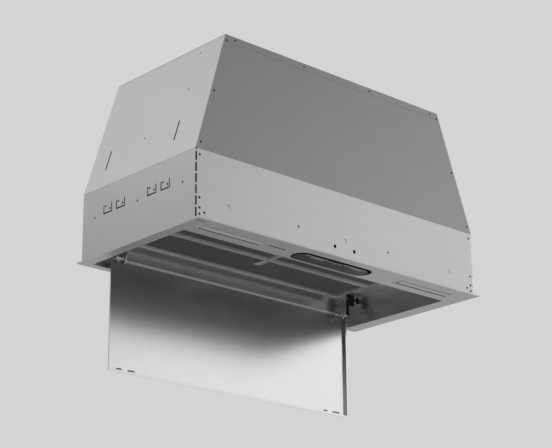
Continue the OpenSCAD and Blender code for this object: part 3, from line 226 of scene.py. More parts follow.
def edge_glint_group():
    """Edge is 1 on the sheared edges of a sheet, whose faces turn away from the way that the sheet faces,
    and marks where a painted highlight goes.

    Facing X, Y and Z are 1 for the way that the sheet faces, and 0 for the others.
    """
    group, entry, leave = new_group(
        "painted_edge_glint", (("Facing X", 0.0), ("Facing Y", 0.0), ("Facing Z", 1.0)), ("Edge",)
    )
    nodes, links = group.nodes, group.links
    place = nodes.new("ShaderNodeTexCoord")
    facing = nodes.new("ShaderNodeCombineXYZ")
    for i, socket_name in enumerate(("Facing X", "Facing Y", "Facing Z")):
        links.new(entry.outputs[socket_name], facing.inputs[i])
    towards = nodes.new("ShaderNodeVectorMath")
    towards.operation = "DOT_PRODUCT"
    links.new(place.outputs["Normal"], towards.inputs[0])
    links.new(facing.outputs["Vector"], towards.inputs[1])
    size = nodes.new("ShaderNodeMath")
    size.operation = "ABSOLUTE"
    links.new(towards.outputs["Value"], size.inputs[0])
    away = nodes.new("ShaderNodeMath")
    away.operation = "LESS_THAN"
    away.inputs[1].default_value = 0.5
    links.new(size.outputs["Value"], away.inputs[0])
    links.new(away.outputs["Value"], leave.inputs["Edge"])
    return group


SHEET_GRAIN = sheet_grain_group()
EDGE_GLINT_MASK = edge_glint_group()


def total(tree, *sources):
    """The sum of the sources, through Math nodes."""
    value = sources[0]
    for source in sources[1:]:
        add = tree.nodes.new("ShaderNodeMath")
        add.operation = "ADD"
        tree.links.new(value, add.inputs[0])
        tree.links.new(source, add.inputs[1])
        value = add.outputs["Value"]
    return value


def placed_group(tree, group, **values):
    """A copy of a node group in a material's tree, with its inputs set; an underscore stands for a space."""
    box = tree.nodes.new("ShaderNodeGroup")
    box.node_tree = group
    for socket_name, value in values.items():
        box.inputs[socket_name.replace("_", " ")].default_value = value
    return box


def tinted(tree, colour, lightness):
    """The colour times the lightness."""
    tint = tree.nodes.new("ShaderNodeVectorMath")
    tint.operation = "SCALE"
    tint.inputs[0].default_value = colour
    tree.links.new(lightness, tint.inputs["Scale"])
    return tint.outputs["Vector"]


def sheet_metal(
    name,
    colour,
    roughness,
    grain=(6.0, 900.0, 900.0),
    contrast=0.05,
    dullness=0.08,
    relief=0.00001,
    facing=None,
    bright=0.5,
    fold=0.0,
):
    """Metal sheet. Grain and clouds shade its colour by contrast, scuffs and grain roughen it by dullness.

    Grain says how often it repeats per metre in X, Y and Z, and relief is its height in metres. Fold is the
    radius to which the edges are shaded round. Facing is the way that the sheet faces, if its cut edges get
    a painted highlight that makes them lighter by the share bright.
    """
    material = bpy.data.materials.new(name)
    material.use_nodes = True
    tree = material.node_tree
    shader = tree.nodes["Principled BSDF"]
    shader.inputs["Metallic"].default_value = 1.0
    marks = placed_group(tree, SHEET_GRAIN, Along=grain[0], Across=grain[1], Up=grain[2])
    lightness = total(
        tree,
        noise_ramp(tree, marks.outputs["Grain"], -contrast, contrast),
        noise_ramp(tree, marks.outputs["Clouds"], 1 - CLOUD_SHARE * contrast, 1 + CLOUD_SHARE * contrast),
    )
    # Painted highlight: faces that turn away from the way that the sheet faces are made lighter by bright
    if facing:
        edge = placed_group(tree, EDGE_GLINT_MASK, Facing_X=facing[0], Facing_Y=facing[1], Facing_Z=facing[2])
        lightness = total(tree, lightness, ramp(tree, edge.outputs["Edge"], 0, 1, 0, bright))
    tree.links.new(tinted(tree, colour, lightness), shader.inputs["Base Color"])
    wear = total(
        tree,
        noise_ramp(tree, marks.outputs["Scuffs"], roughness, roughness + dullness),
        noise_ramp(tree, marks.outputs["Grain"], 0, dullness),
    )
    tree.links.new(wear, shader.inputs["Roughness"])
    bump = tree.nodes.new("ShaderNodeBump")
    bump.inputs["Strength"].default_value = 0.5
    bump.inputs["Distance"].default_value = relief
    tree.links.new(marks.outputs["Grain"], bump.inputs["Height"])
    if fold:
        rounded = tree.nodes.new("ShaderNodeBevel")
        rounded.samples = 4
        rounded.inputs["Radius"].default_value = fold
        tree.links.new(rounded.outputs["Normal"], bump.inputs["Normal"])
    tree.links.new(bump.outputs["Normal"], shader.inputs["Normal"])
    return material


def dress(names, material, fold=0.0):
    """Gives the model's own pieces their material, and rounds their edges to the radius fold."""
    for name in names:
        piece = node[name]
        piece.data.materials.clear()
        piece.data.materials.append(material)
        if fold:
            weld = piece.modifiers.new("weld", "WELD")
            weld.merge_threshold = 0.00001
            bevel = piece.modifiers.new("folds", "BEVEL")
            bevel.width = fold
            bevel.segments = 2
            bevel.limit_method = "ANGLE"
            bevel.angle_limit = math.radians(40)


CASING_STEEL = sheet_metal(
    "casing_steel", (0.41, 0.41, 0.408), roughness=0.42, contrast=0.03, dullness=0.025, fold=FOLD_RADIUS
)
dress(("lower_casing", "rear_casing", "left_end_panel", "right_end_panel"), CASING_STEEL)


# Leaning front and roof. The casing's steel, coloured darker as painted shade on the leaning front, and with
# a slightly duller face; the roof is folded down over the front as a rim and tucked inside the ends.
SHADED_FRONT_STEEL = sheet_metal(
    "leaning_front_shaded_steel",
    (0.235, 0.235, 0.237),
    roughness=0.44,
    contrast=0.03,
    dullness=0.025,
    fold=FOLD_RADIUS,
)
dress(("front_panel", "roof"), SHADED_FRONT_STEEL)


# Rivets behind. Twelve blind rivets of plated steel hold the rear sheet to the ends, three up each upright
# wall and three up each leaning one. Each has a low dome with the hole that its pulled stem has left.
RIVET_RADIUS = 0.0024
RIVET_STEPS = 24
STEM_RADIUS = 0.0008
STEM_DEPTH = 0.0006
# How far the ends lean in from the upright wall up to the roof
END_LEAN = 0.091
# Heights of the rivets, as shares of the upright wall and of the leaning one
UPRIGHT_RIVETS = (0.2, 0.5, 0.8)
LEANING_RIVETS = (0.15, 0.5, 0.85)
MERGE_DISTANCE = 0.000001
SMOOTH_ANGLE = math.radians(35)
UP = (0, 0, 1)
REARWARD = (0, 1, 0)
FORWARD = (0, -1, 0)

rivets_low, rivets_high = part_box("casing_rivets")
rivet_height = rivets_high.y - rivets_low.y
rivet_x = rivets_high.x - RIVET_RADIUS
upright_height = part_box("lower_casing")[1].z
roof_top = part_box("roof")[1].z


def piece_of(name, grids, material, body, *stands_for):
    """A piece out of grids of points (rows, columns, 3): each four neighbours make a face, and doubles are
    merged. It rides on the body, and stands for the model's own pieces that are named last."""
    points, faces, first = [], [], 0
    for grid in grids:
        rows, columns = grid.shape[:2]
        index = first + np.arange(rows * columns).reshape(rows, columns)
        corners = (index[:-1, :-1], index[:-1, 1:], index[1:, 1:], index[1:, :-1])
        faces.append(np.stack(corners, -1).reshape(-1, 4))
        points.append(grid.reshape(-1, 3))
        first += rows * columns
    mesh = bpy.data.meshes.new(name)
    mesh.from_pydata(np.concatenate(points).tolist(), [], np.concatenate(faces).tolist())
    work = bmesh.new()
    work.from_mesh(mesh)
    bmesh.ops.remove_doubles(work, verts=work.verts, dist=MERGE_DISTANCE)
    bmesh.ops.recalc_face_normals(work, faces=work.faces)
    work.to_mesh(mesh)
    work.free()
    mesh.shade_smooth()
    mesh.set_sharp_from_angle(angle=SMOOTH_ANGLE)
    mesh.materials.append(material)
    piece = bpy.data.objects.new(name, mesh)
    bpy.context.collection.objects.link(piece)
    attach(piece, body)
    if stands_for:
        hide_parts(*stands_for)
    return piece


def turned(profile, steps=32, sides=6, lobes=0, lobe_depth=0.0):
    """Surface of revolution about Z. A profile row is radius, height and two shares. The first stretches the
    radius to a polygon, by 1 / cos of the angle from its nearest side's middle. The second adds the lobes, a
    cosine wave round the axis."""
    radius, height, flat, lobed = np.array(profile, dtype=float).T[:, :, None]
    angle = np.linspace(0, 2 * np.pi, steps + 1)[None, :]
    from_side = (angle + np.pi / sides) % (2 * np.pi / sides) - np.pi / sides
    radius = radius * (1 + flat * (1 / np.cos(from_side) - 1)) + lobed * lobe_depth * np.cos(lobes * angle)
    return np.stack((radius * np.cos(angle), radius * np.sin(angle), height + 0 * angle), -1)


def round_rows(rows):
    """Profile rows out of radius and height alone, for a shape without flats and lobes."""
    return [(radius, height, 0, 0) for radius, height in rows]


def stood(grid, foot, axis):
    """A shape that stands on Z, turned to stand on the axis, with its foot moved to its place."""
    turn = np.array(Vector(UP).rotation_difference(Vector(axis)).to_matrix())
    return grid @ turn.T + np.array(foot)


PLATED_STEEL = sheet_metal(
    "plated_steel", (0.62, 0.62, 0.63), roughness=0.28, grain=(60, 60, 60), contrast=0.05, dullness=0.1
)
bend = np.linspace(0, np.pi / 2, 8)
dome = np.stack((STEM_RADIUS + (RIVET_RADIUS - STEM_RADIUS) * np.cos(bend), rivet_height * np.sin(bend)), -1)
stem_floor = rivet_height - STEM_DEPTH
rivet = turned(round_rows([(0, 0), *dome, (STEM_RADIUS, stem_floor), (0, stem_floor)]), RIVET_STEPS)
rivet_places = [(rivet_x, share * upright_height) for share in UPRIGHT_RIVETS]
leaning_height = roof_top - upright_height
rivet_places += [
    (rivet_x - share * END_LEAN, upright_height + share * leaning_height) for share in LEANING_RIVETS
]
piece_of(
    "domed_rivets",
    [stood(rivet, (side * x, rivets_low.y, z), REARWARD) for side in (-1, 1) for x, z in rivet_places],
    PLATED_STEEL,
    "casing",
    "casing_rivets",
)


# Bottom frame. The finished face of the hood: satin stainless sheet, brushed along the hood, with a painted
# highlight that makes its sheared edges slightly lighter round its outline, the light windows and the
# control recess.
ALONG_THE_HOOD = (4.0, 1400.0, 1400.0)
BRUSHED_STEEL = sheet_metal(
    "brushed_steel",
    (0.5, 0.5, 0.505),
    roughness=0.34,
    grain=ALONG_THE_HOOD,
    contrast=0.05,
    dullness=0.06,
    facing=(0, 0, 1),
    bright=0.15,
)
dress(("bottom_frame",), BRUSHED_STEEL, fold=0.0003)


# Recess walls. Folded stainless sheets that close the opening between the frame and the filter deck: the
# light rail in front, a liner at each end and one behind, with the brushing along their length.
RECESS_STEEL = sheet_metal(
    "recess_steel", (0.79, 0.79, 0.805), roughness=0.24, grain=ALONG_THE_HOOD, contrast=0.05, dullness=0.06
)
dress(("light_rail", "left_liner", "right_liner", "rear_liner"), RECESS_STEEL, fold=0.0003)


# Screws in the rear liner. Three plated pan-head screws with a cross recess, which pass through the liner to
# the casing's rear wall.
SCREW_HEAD_RADIUS = 0.0035
SCREW_RADIUS = 0.0015
SCREW_HEAD_STEPS = 64
SCREW_STEPS = 24
# Share of the head's height that its rim has
RIM_SHARE = 0.45
CROSS_HALF_WIDTH = 0.00045
CROSS_REACH = 0.002
CROSS_DEPTH = 0.0009
CROSS_SOFTNESS = 0.0003
LINER_SCREWS = 3

screws_low, screws_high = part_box("liner_screws")
liner_face_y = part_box("rear_liner")[0].y
screw_head_height = liner_face_y - screws_low.y


def screw(length):
    """A screw on Z. Its head's height falls off as half a circle towards the rim. It is sunk where a cross
    lies, which is where the smaller of |x| and |y| is under the arm's half width and the larger under its
    reach. Its shank is a plain turned bar below zero."""
    share = np.linspace(0, 1, 22)[:, None]
    angle = np.linspace(0, 2 * np.pi, SCREW_HEAD_STEPS + 1)[None, :]
    x = SCREW_HEAD_RADIUS * share * np.cos(angle)
    y = SCREW_HEAD_RADIUS * share * np.sin(angle)
    narrow = np.minimum(np.abs(x), np.abs(y))
    wide = np.maximum(np.abs(x), np.abs(y))
    in_arm = np.clip(0.5 + (CROSS_HALF_WIDTH - narrow) / CROSS_SOFTNESS, 0, 1)
    in_reach = np.clip(0.5 + (CROSS_REACH - wide) / CROSS_SOFTNESS, 0, 1)
    height = screw_head_height * (RIM_SHARE + (1 - RIM_SHARE) * np.sqrt(1 - share**2))
    crown = np.stack((x, y, height - CROSS_DEPTH * in_arm * in_reach), -1)
    rim = (SCREW_HEAD_RADIUS, screw_head_height * RIM_SHARE)
    under = turned(round_rows([rim, (SCREW_HEAD_RADIUS, 0), (0, 0)]), SCREW_HEAD_STEPS)
    shank_rows = [(0, 0), (SCREW_RADIUS, 0), (SCREW_RADIUS, -length), (0, -length)]
    return [crown, under, turned(round_rows(shank_rows), SCREW_STEPS)]


first_x, last_x = screws_low.x + SCREW_HEAD_RADIUS, screws_high.x - SCREW_HEAD_RADIUS
liner_screw_z = (screws_low.z + screws_high.z) / 2
piece_of(
    "liner_pan_screws",
    [
        stood(grid, (x, liner_face_y, liner_screw_z), FORWARD)
        for x in np.linspace(first_x, last_x, LINER_SCREWS)
        for grid in screw(screws_high.y - liner_face_y)
    ],
    PLATED_STEEL,
    "casing",
    "liner_screws",
)


# Filter deck and support. The deck is a galvanised sheet, hot-dipped, with the frost-like spangle of zinc;
# the support under it is folded from the same stainless as the frame.
SPANGLES_PER_METRE = 90.0
# Lightness and roughness of the darkest and the brightest spangle, and what the frost adds to both
SPANGLE_LIGHTNESS = (0.86, 1.1)
SPANGLE_ROUGHNESS = (0.36, 0.5)
FROST_LIGHTNESS = (-0.05, 0.05)
FROST_ROUGHNESS = (-0.04, 0.08)


def spangle_group():
    """Zinc spangle: Voronoi cells, each with its own shade, and a fine frost inside them.

    Size says how many cells lie along a metre. Cell and Frost come out from 0 to 1.
    """
    group, entry, leave = new_group("zinc_spangle", (("Size", SPANGLES_PER_METRE),), ("Cell", "Frost"))
    nodes, links = group.nodes, group.links
    place = nodes.new("ShaderNodeTexCoord")
    cells = nodes.new("ShaderNodeTexVoronoi")
    cells.inputs["Randomness"].default_value = 1.0
    links.new(place.outputs["Object"], cells.inputs["Vector"])
    links.new(entry.outputs["Size"], cells.inputs["Scale"])
    shade = nodes.new("ShaderNodeSeparateColor")
    links.new(cells.outputs["Color"], shade.inputs["Color"])
    links.new(shade.outputs["Red"], leave.inputs["Cell"])
    frost = nodes.new("ShaderNodeTexNoise")
    frost.inputs["Scale"].default_value = 700.0
    frost.inputs["Detail"].default_value = 3.0
    links.new(place.outputs["Object"], frost.inputs["Vector"])
    links.new(frost.outputs["Fac"], leave.inputs["Frost"])
    return group


ZINC_SPANGLE = spangle_group()


def galvanised(name, colour, size):
    """Galvanised sheet: each spangle has its own lightness and gloss, and frost roughens it."""
    material = bpy.data.materials.new(name)
    material.use_nodes = True
    tree = material.node_tree
    shader = tree.nodes["Principled BSDF"]
    shader.inputs["Metallic"].default_value = 1.0
    zinc = placed_group(tree, ZINC_SPANGLE, Size=size)
    lightness = total(
        tree,
        ramp(tree, zinc.outputs["Cell"], 0, 1, *SPANGLE_LIGHTNESS),
        noise_ramp(tree, zinc.outputs["Frost"], *FROST_LIGHTNESS),
    )
    tree.links.new(tinted(tree, colour, lightness), shader.inputs["Base Color"])
    wear = total(
        tree,
        ramp(tree, zinc.outputs["Cell"], 0, 1, *SPANGLE_ROUGHNESS),
        noise_ramp(tree, zinc.outputs["Frost"], *FROST_ROUGHNESS),
    )
    tree.links.new(wear, shader.inputs["Roughness"])
    bump = tree.nodes.new("ShaderNodeBump")
    bump.inputs["Strength"].default_value = 0.3
    bump.inputs["Distance"].default_value = 0.00002
    tree.links.new(zinc.outputs["Frost"], bump.inputs["Height"])
    tree.links.new(bump.outputs["Normal"], shader.inputs["Normal"])
    return material


GALVANISED = galvanised("galvanised_sheet", (0.5, 0.51, 0.52), size=SPANGLES_PER_METRE)
dress(("filter_deck",), GALVANISED)
dress(("filter_support",), BRUSHED_STEEL, fold=0.0003)


# Filters. A stainless rim round a pack of expanded aluminium. The lowest layer is modelled strand by strand,
# coloured dark grey as painted shade of the recess, and the pack above it is a near-black slab, painted
# shade between its layers.
BAYS = ("front_left", "front_right", "rear")
STRAND_PITCH = 0.0042
STRAND_STEP = 0.0046
STRAND_WIDTH = 0.0009
STRAND_THICKNESS = 0.0005
# Turn of each strand about X, in radians
STRAND_LEAN = 0.5
MESH_MARGIN = 0.003
MESH_DROP = 0.0004
# The catch travels in a slot at the middle of each sheet's front edge, two strands deep
SLOT_STRANDS = 2
SLOT_HALF_WIDTH = 0.0062

dress([bay + "_filter_frame" for bay in BAYS], BRUSHED_STEEL, fold=0.0002)
# Painted shade: a near-black colour for the pack, for the shade between its layers
PACK_PAINTED_SHADE = sheet_metal(
    "filter_pack_shade",
    (0.12, 0.12, 0.123),
    roughness=0.6,
    grain=(420, 420, 420),
    contrast=0.4,
    dullness=0.1,
    relief=0.0004,
)
dress([bay + "_filter_mesh" for bay in BAYS], PACK_PAINTED_SHADE)
# Painted shade: the strands' aluminium is coloured dark grey for the shade in the recess
SHADED_STRAND_METAL = sheet_metal(
    "strand_aluminium_shaded",
    (0.27, 0.27, 0.274),
    roughness=0.42,
    grain=(300, 300, 300),
    contrast=0.12,
    dullness=0.1,
)


def expanded_sheet(low, high, z):
    """Expanded metal over a rectangle. Strand k follows y = its own line + or - half a pitch, in turn along
    X, so its crests lie on the next one's troughs. A strand is a flat ribbon with four sides, closed at both
    ends."""
    strands = round((high[1] - low[1]) / STRAND_PITCH)
    turns = int((high[0] - low[0]) / STRAND_STEP)
    k = np.arange(strands)[:, None]
    i = np.arange(turns + 1)[None, :]
    pitch = (high[1] - low[1] - STRAND_WIDTH) / strands
    x = low[0] + (high[0] - low[0]) * i / turns + 0 * k
    y = low[1] + STRAND_WIDTH / 2 + pitch * (k + 0.5) + pitch / 2 * (1 - 2 * ((i + k) % 2))
    half = 0.5 * np.array([[-1, -1], [1, -1], [1, 1], [-1, 1], [-1, -1]]) * (STRAND_WIDTH, STRAND_THICKNESS)
    across = half[:, 0] * math.cos(STRAND_LEAN) - half[:, 1] * math.sin(STRAND_LEAN)
    rise = half[:, 0] * math.sin(STRAND_LEAN) + half[:, 1] * math.cos(STRAND_LEAN)
    ribbon = np.stack(
        np.broadcast_arrays(x[:, :, None], y[:, :, None] + across, z + rise + 0 * x[:, :, None]), -1
    )
    ends = ribbon.mean(axis=2, keepdims=True) + 0 * ribbon
    return [np.concatenate((end[:1], line, end[-1:])) for end, line in zip(ends, ribbon)]


for bay in BAYS:
    low, high = (np.array(corner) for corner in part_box(bay + "_filter_mesh"))
    x0, y0 = low[:2] + MESH_MARGIN
    x1, y1 = high[:2] - MESH_MARGIN
    middle, slot_y = (x0 + x1) / 2, y0 + SLOT_STRANDS * STRAND_PITCH
    z = low[2] - MESH_DROP
    strands = expanded_sheet((x0, y0), (middle - SLOT_HALF_WIDTH, slot_y), z)
    strands += expanded_sheet((middle + SLOT_HALF_WIDTH, y0), (x1, slot_y), z)
    strands += expanded_sheet((x0, slot_y), (x1, y1), z)
    piece_of(bay + "_expanded_mesh", strands, SHADED_STRAND_METAL, "casing")


# Filter catches. A bright stainless thumb plate slides in guides under each filter and pushes a bolt over
# the support's bar.
LATCH_STEEL = sheet_metal(
    "latch_steel", (0.8, 0.8, 0.8), roughness=0.26, grain=(900, 8, 900), contrast=0.04, dullness=0.06
)
dress([bay + "_filter_latch" for bay in BAYS], LATCH_STEEL, fold=0.0003)


# Lights. A frosted polycarbonate cover with fine ribs across it lies in each window of the frame, under a
# box of sheet that holds the light strip. The cover is coloured mid grey, painted shade under the hood, and
# the box near black, painted shade in the gap round the cover.
# Painted shade: the frosted white cover is coloured mid grey
LENS_SHADED_COLOUR = (0.47, 0.467, 0.448)
RIB_PITCH = 0.0016
RIB_HEIGHT = 0.0002
# Repeats per metre and height of the texture on moulded plastic, and how far its colour and roughness vary
MOULD_GRAIN = 1500
MOULD_RELIEF = 0.00004
MOULD_CLOUDS = 0.07
MOULD_WEAR = 0.05


def moulded(name, colour, roughness, specular=0.5, ribs=0.0):
    """Moulded plastic with a fine even texture and a slightly cloudy colour. Ribs is the pitch along X of
    its ribs, a sine wave in the bump, where it has any."""
    material = bpy.data.materials.new(name)
    material.use_nodes = True
    tree = material.node_tree
    shader = tree.nodes["Principled BSDF"]
    shader.inputs["Specular IOR Level"].default_value = specular
    marks = placed_group(tree, SHEET_GRAIN, Along=MOULD_GRAIN, Across=MOULD_GRAIN, Up=MOULD_GRAIN)
    lightness = noise_ramp(tree, marks.outputs["Scuffs"], 1 - MOULD_CLOUDS, 1 + MOULD_CLOUDS)
    tree.links.new(tinted(tree, colour, lightness), shader.inputs["Base Color"])
    wear = noise_ramp(tree, marks.outputs["Scuffs"], roughness - MOULD_WEAR, roughness + MOULD_WEAR)
    tree.links.new(wear, shader.inputs["Roughness"])
    bump = tree.nodes.new("ShaderNodeBump")
    bump.inputs["Strength"].default_value = 0.4
    bump.inputs["Distance"].default_value = RIB_HEIGHT if ribs else MOULD_RELIEF
    height = marks.outputs["Grain"]
    if ribs:
        place = tree.nodes.new("ShaderNodeTexCoord")
        along = tree.nodes.new("ShaderNodeSeparateXYZ")
        tree.links.new(place.outputs["Object"], along.inputs["Vector"])
        phase = tree.nodes.new("ShaderNodeMath")
        phase.operation = "MULTIPLY"
        phase.inputs[1].default_value = 2 * math.pi / ribs
        tree.links.new(along.outputs["X"], phase.inputs[0])
        wave = tree.nodes.new("ShaderNodeMath")
        wave.operation = "SINE"
        tree.links.new(phase.outputs["Value"], wave.inputs[0])
        height = wave.outputs["Value"]
    tree.links.new(height, bump.inputs["Height"])
    tree.links.new(bump.outputs["Normal"], shader.inputs["Normal"])
    return material


FROSTED_LENS = moulded("frosted_lens", LENS_SHADED_COLOUR, roughness=0.35, ribs=RIB_PITCH)
dress(("left_light_lens", "right_light_lens"), FROSTED_LENS, fold=0.0003)
# Painted shade: the box is coloured near black so the gap round the cover is dark
LIGHT_BOX_SHADE = moulded("light_box_painted_shade", (0.07, 0.07, 0.07), roughness=0.6)
dress(("left_light_box", "right_light_box"), LIGHT_BOX_SHADE, fold=0.0002)


# Sensor window and control recess. Black moulded ABS behind a slit in the frame, and a black moulded tray
# let into the frame for the controls.
BLACK_PLASTIC = moulded("black_plastic", (0.006, 0.006, 0.0065), roughness=0.6, specular=0.25)
dress(("sensor_window", "control_well"), BLACK_PLASTIC, fold=0.0003)


# Controls. A dark grey moulded bar with two raised grip ribs at each side of its three keys; the keys are
# satin metal caps that press the switches on a circuit board above.
BAR_RIB_RADIUS = 0.0008
BAR_RIB_END = 2 * BAR_RIB_RADIUS
# Two ends of each rib, from the bar's middle, and its distance from the bar's front edge
BAR_RIBS = (
    (-0.092, -0.022, 0.0022),
    (-0.072, -0.032, 0.0092),
    (0.022, 0.092, 0.0022),
    (0.051, 0.084, 0.0092),
)


def rounded_rib(x0, x1, y, z):
    """A round-ended bead along X. Its radius is the rib's times the root of 1 - e squared, where e is nil
    along the bead and rises to 1 over a short stretch at each end."""
    along = np.linspace(0, 1, 41)[:, None]
    x = x0 + (x1 - x0) * along
    e = np.clip(1 - np.minimum(x - x0, x1 - x) / BAR_RIB_END, 0, 1)
    radius = BAR_RIB_RADIUS * np.sqrt(1 - e**2)
    angle = np.linspace(0, 2 * np.pi, 13)[None, :]
    return np.stack((x + 0 * angle, y + radius * np.cos(angle), z + radius * np.sin(angle)), -1)


BAR_PLASTIC = moulded("bar_plastic", (0.017, 0.0168, 0.0163), roughness=0.42, specular=0.25)
dress(("control_bar",), BAR_PLASTIC, fold=0.0006)
bar_low, bar_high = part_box("control_bar")
bar_x = (bar_low.x + bar_high.x) / 2
# Painted highlight: the ribs are coloured pale grey on the near-black bar for the glints along them
piece_of(
    "bar_grip_ribs",
    [rounded_rib(bar_x + x0, bar_x + x1, bar_low.y + inset, bar_low.z) for x0, x1, inset in BAR_RIBS],
    moulded("rib_painted_glint", (0.55, 0.545, 0.53), roughness=0.3),
    "casing",
)
KEY_METAL = sheet_metal(
    "key_metal", (0.3, 0.3, 0.305), roughness=0.3, grain=(900, 900, 8), contrast=0.04, dullness=0.06
)
dress(("button_left", "button_middle", "button_right"), KEY_METAL, fold=0.0004)
dress(("control_board",), moulded("circuit_board", (0.02, 0.11, 0.05), roughness=0.4))


# Swing panel. A shallow tray of satin stainless, brushed along the hood and polished harder than the rest,
# with a folded lip on three sides, and an arm at each end that hangs it on its pin.
# Painted highlight: faces of the tray that don't face along Y, its lip, walls and cut edges, are made
# lighter by 0.2
PANEL_STEEL = sheet_metal(
    "panel_steel",
    (0.49, 0.49, 0.497),
    roughness=0.2,
    grain=(3.0, 1600.0, 1600.0),
    contrast=0.02,
    dullness=0.03,
    relief=0.000006,
    facing=(0, 1, 0),
    bright=0.2,
)
dress(("panel_tray",), PANEL_STEEL, fold=0.0004)
dress(("left_panel_arm", "right_panel_arm"), PANEL_STEEL, fold=0.0003)


# Panel buffers. Two small pads near each lower corner, of uneven length, set against the sheet inside the
# tray's rim, and coloured dark as a painted reflection of dark marks on the sheet.
BUFFER_HALF_DEPTH = 0.0012
BUFFER_HALF_HEIGHT = 0.0013
BUFFER_RISE = 0.0096
# Distance from the panel's middle and half width of each pad
BUFFERS = ((-0.334, 0.007), (-0.3, 0.01), (0.296, 0.006), (0.331, 0.012))
BUFFER_ROUNDNESS = 0.35


def soft_block(middle, halves):
    """A superellipsoid: the cosines and sines of a sphere's two angles, each raised to a small power with
    its sign kept, which squares it up and leaves the corners round."""
    across = np.linspace(-np.pi, np.pi, 33)[None, :]
    rise = np.linspace(-np.pi / 2, np.pi / 2, 17)[:, None]

    def power(value):
        return np.sign(value) * np.abs(value) ** BUFFER_ROUNDNESS

    width = power(np.cos(rise)) * power(np.cos(across))
    depth = power(np.cos(rise)) * power(np.sin(across))
    height = power(np.sin(rise)) + 0 * across
    return np.array(middle) + np.stack((width, depth, height), -1) * halves


tray_low, tray_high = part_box("panel_tray")
tray_x = (tray_low.x + tray_high.x) / 2
buffer_y = tray_high.y - BUFFER_HALF_DEPTH
buffer_z = tray_low.z + BUFFER_RISE
# Painted reflection: the pads' dark colour stands for reflected dark marks on the tray
piece_of(
    "panel_buffers",
    [
        soft_block((tray_x + x, buffer_y, buffer_z), (half, BUFFER_HALF_DEPTH, BUFFER_HALF_HEIGHT))
        for x, half in BUFFERS
    ],
    moulded("buffer_painted_reflection", (0.08, 0.08, 0.082), roughness=0.7),
    "panel",
)


# Hinges. A plated pin through each arm turns in a hanger of black glass-filled nylon, which a cap screw
# with a nut holds against the liner.
dress(("left_hinge_pin", "right_hinge_pin"), PLATED_STEEL, fold=0.0003)
dress(("left_hanger", "right_hanger"), BLACK_PLASTIC, fold=0.0004)
BOLT_STEEL = sheet_metal(
    "bolt_steel", (0.36, 0.36, 0.365), roughness=0.3, grain=(60, 60, 60), contrast=0.05, dullness=0.1
)
dress(("hanger_bolts",), BOLT_STEEL, fold=0.0004)


# Blower. A galvanised scroll with a ringed inlet plate at each side, a black moulded wheel inside it, and a
# painted motor on a bracket in the right inlet.
BLOWER_SHEETS = ("scroll_housing", "left_inlet_plate", "right_inlet_plate", "outlet_box", "motor_bracket")
dress(BLOWER_SHEETS, GALVANISED, fold=0.0002)
dress(("blower_wheel",), moulded("wheel_plastic", (0.02, 0.02, 0.021), roughness=0.5), fold=0.0002)
dress(("motor",), moulded("motor_enamel", (0.09, 0.09, 0.095), roughness=0.35), fold=0.001)
dress(("motor_shaft",), PLATED_STEEL, fold=0.0003)


# Duct collar. Spun from galvanised sheet and screwed to the roof, with its upper edge rolled into a bead;
# two flaps of thin sheet hang on a pin across it.
BEAD_RADIUS = 0.0009
BEAD_STEPS = 128
COLLAR_SCREW_RING = 0.084
COLLAR_SCREW_ANGLES = np.radians((45, 135, 225, 315))

dress(("duct_collar", "front_flap", "rear_flap"), GALVANISED)
dress(("flap_pin",), PLATED_STEEL, fold=0.0003)
# The pin crosses the collar's axis and ends flush with its outside
pin_low, pin_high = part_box("flap_pin")
collar_x, collar_y = (pin_low.x + pin_high.x) / 2, (pin_low.y + pin_high.y) / 2
bead_ring_radius = (pin_high.x - pin_low.x) / 2 - BEAD_RADIUS
bead_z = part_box("duct_collar")[1].z - BEAD_RADIUS
bend = np.linspace(0, 2 * np.pi, 17)
bead_rows = (bead_ring_radius, bead_z) + BEAD_RADIUS * np.stack((np.cos(bend), np.sin(bend)), -1)
piece_of(
    "collar_bead",
    [stood(turned(round_rows(bead_rows), BEAD_STEPS), (collar_x, collar_y, 0), UP)],
    GALVANISED,
    "casing",
)
collar_screws_low, collar_screws_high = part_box("collar_screws")
collar_seat_z = collar_screws_high.z - screw_head_height
ring_places = COLLAR_SCREW_RING * np.stack((np.cos(COLLAR_SCREW_ANGLES), np.sin(COLLAR_SCREW_ANGLES)), -1)
piece_of(
    "collar_pan_screws",
    [
        stood(grid, (collar_x + ring_x, collar_y + ring_y, collar_seat_z), UP)
        for ring_x, ring_y in ring_places
        for grid in screw(collar_seat_z - collar_screws_low.z)
    ],
    PLATED_STEEL,
    "casing",
    "collar_screws",
)


# Electronics and cable gland. A galvanised box with its lid stands on the deck, and the supply cable's
# gland is black nylon: a six-sided nut, a ribbed dome that clamps, and a locknut under the roof.
GLAND_BORE = 0.0045
GLAND_THROAT_T = 0.001
GLAND_NUT = 0.0095
GLAND_NUT_HEIGHT = 0.006
GLAND_NUT_EDGE = 0.0007
GLAND_DOME = 0.0086
GLAND_DOME_FOOT = 0.001
GLAND_DOME_CROWN = 0.004
GLAND_MOUTH = 0.0056
GLAND_STEPS = 96
GLAND_RIBS = 24
GLAND_RIB_DEPTH = 0.0003

dress(("electronics_box", "electronics_lid"), GALVANISED, fold=0.0002)


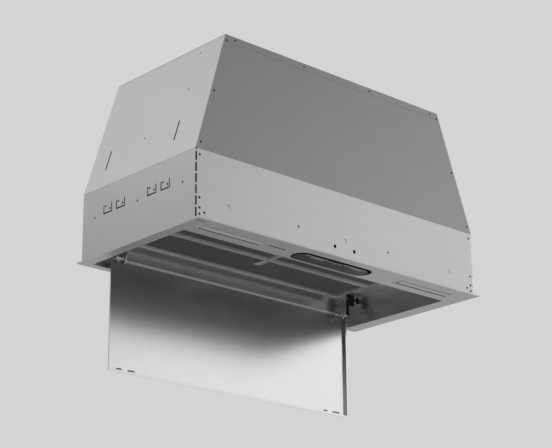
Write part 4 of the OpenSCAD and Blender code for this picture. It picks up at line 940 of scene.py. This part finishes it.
def nut_profile(low, high):
    """Section of a ring with six flats: out along its foot, up its chamfered flats, in along its top, and
    down its bore."""
    edge = GLAND_NUT_EDGE
    return [
        (GLAND_BORE, low, 0, 0),
        (GLAND_NUT - edge, low, 0, 0),
        (GLAND_NUT, low + edge, 1, 0),
        (GLAND_NUT, high - edge, 1, 0),
        (GLAND_NUT - edge, high, 0, 0),
        (GLAND_BORE, high, 0, 0),
        (GLAND_BORE, low, 0, 0),
    ]


gland_low, gland_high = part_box("cable_gland")
gland_place = ((gland_low.x + gland_high.x) / 2, (gland_low.y + gland_high.y) / 2, 0)
gland_top = gland_high.z
locknut_top = gland_low.z + GLAND_NUT_HEIGHT
nut_top = roof_top + GLAND_NUT_HEIGHT
# The dome's rows go up its ribbed side and over a quarter of an ellipse, where the ribs fade, to the mouth
dome_profile = [
    (GLAND_BORE, nut_top, 0, 0),
    (GLAND_DOME, nut_top, 0, 0),
    (GLAND_DOME, nut_top + GLAND_DOME_FOOT, 0, 1),
]
for angle in np.linspace(0, np.pi / 2, 9):
    radius = GLAND_MOUTH + (GLAND_DOME - GLAND_MOUTH) * math.cos(angle)
    dome_profile.append((radius, gland_top - GLAND_DOME_CROWN * (1 - math.sin(angle)), 0, math.cos(angle)))
dome_profile += [(GLAND_BORE, gland_top, 0, 0), (GLAND_BORE, nut_top, 0, 0)]
throat = GLAND_BORE + GLAND_THROAT_T
throat_profile = round_rows(
    [
        (GLAND_BORE, locknut_top),
        (throat, locknut_top),
        (throat, roof_top),
        (GLAND_BORE, roof_top),
        (GLAND_BORE, locknut_top),
    ]
)
gland_profiles = (
    nut_profile(gland_low.z, locknut_top),
    nut_profile(roof_top, nut_top),
    dome_profile,
    throat_profile,
)
piece_of(
    "ribbed_cable_gland",
    [
        stood(turned(profile, GLAND_STEPS, lobes=GLAND_RIBS, lobe_depth=GLAND_RIB_DEPTH), gland_place, UP)
        for profile in gland_profiles
    ],
    BLACK_PLASTIC,
    "casing",
    "cable_gland",
)
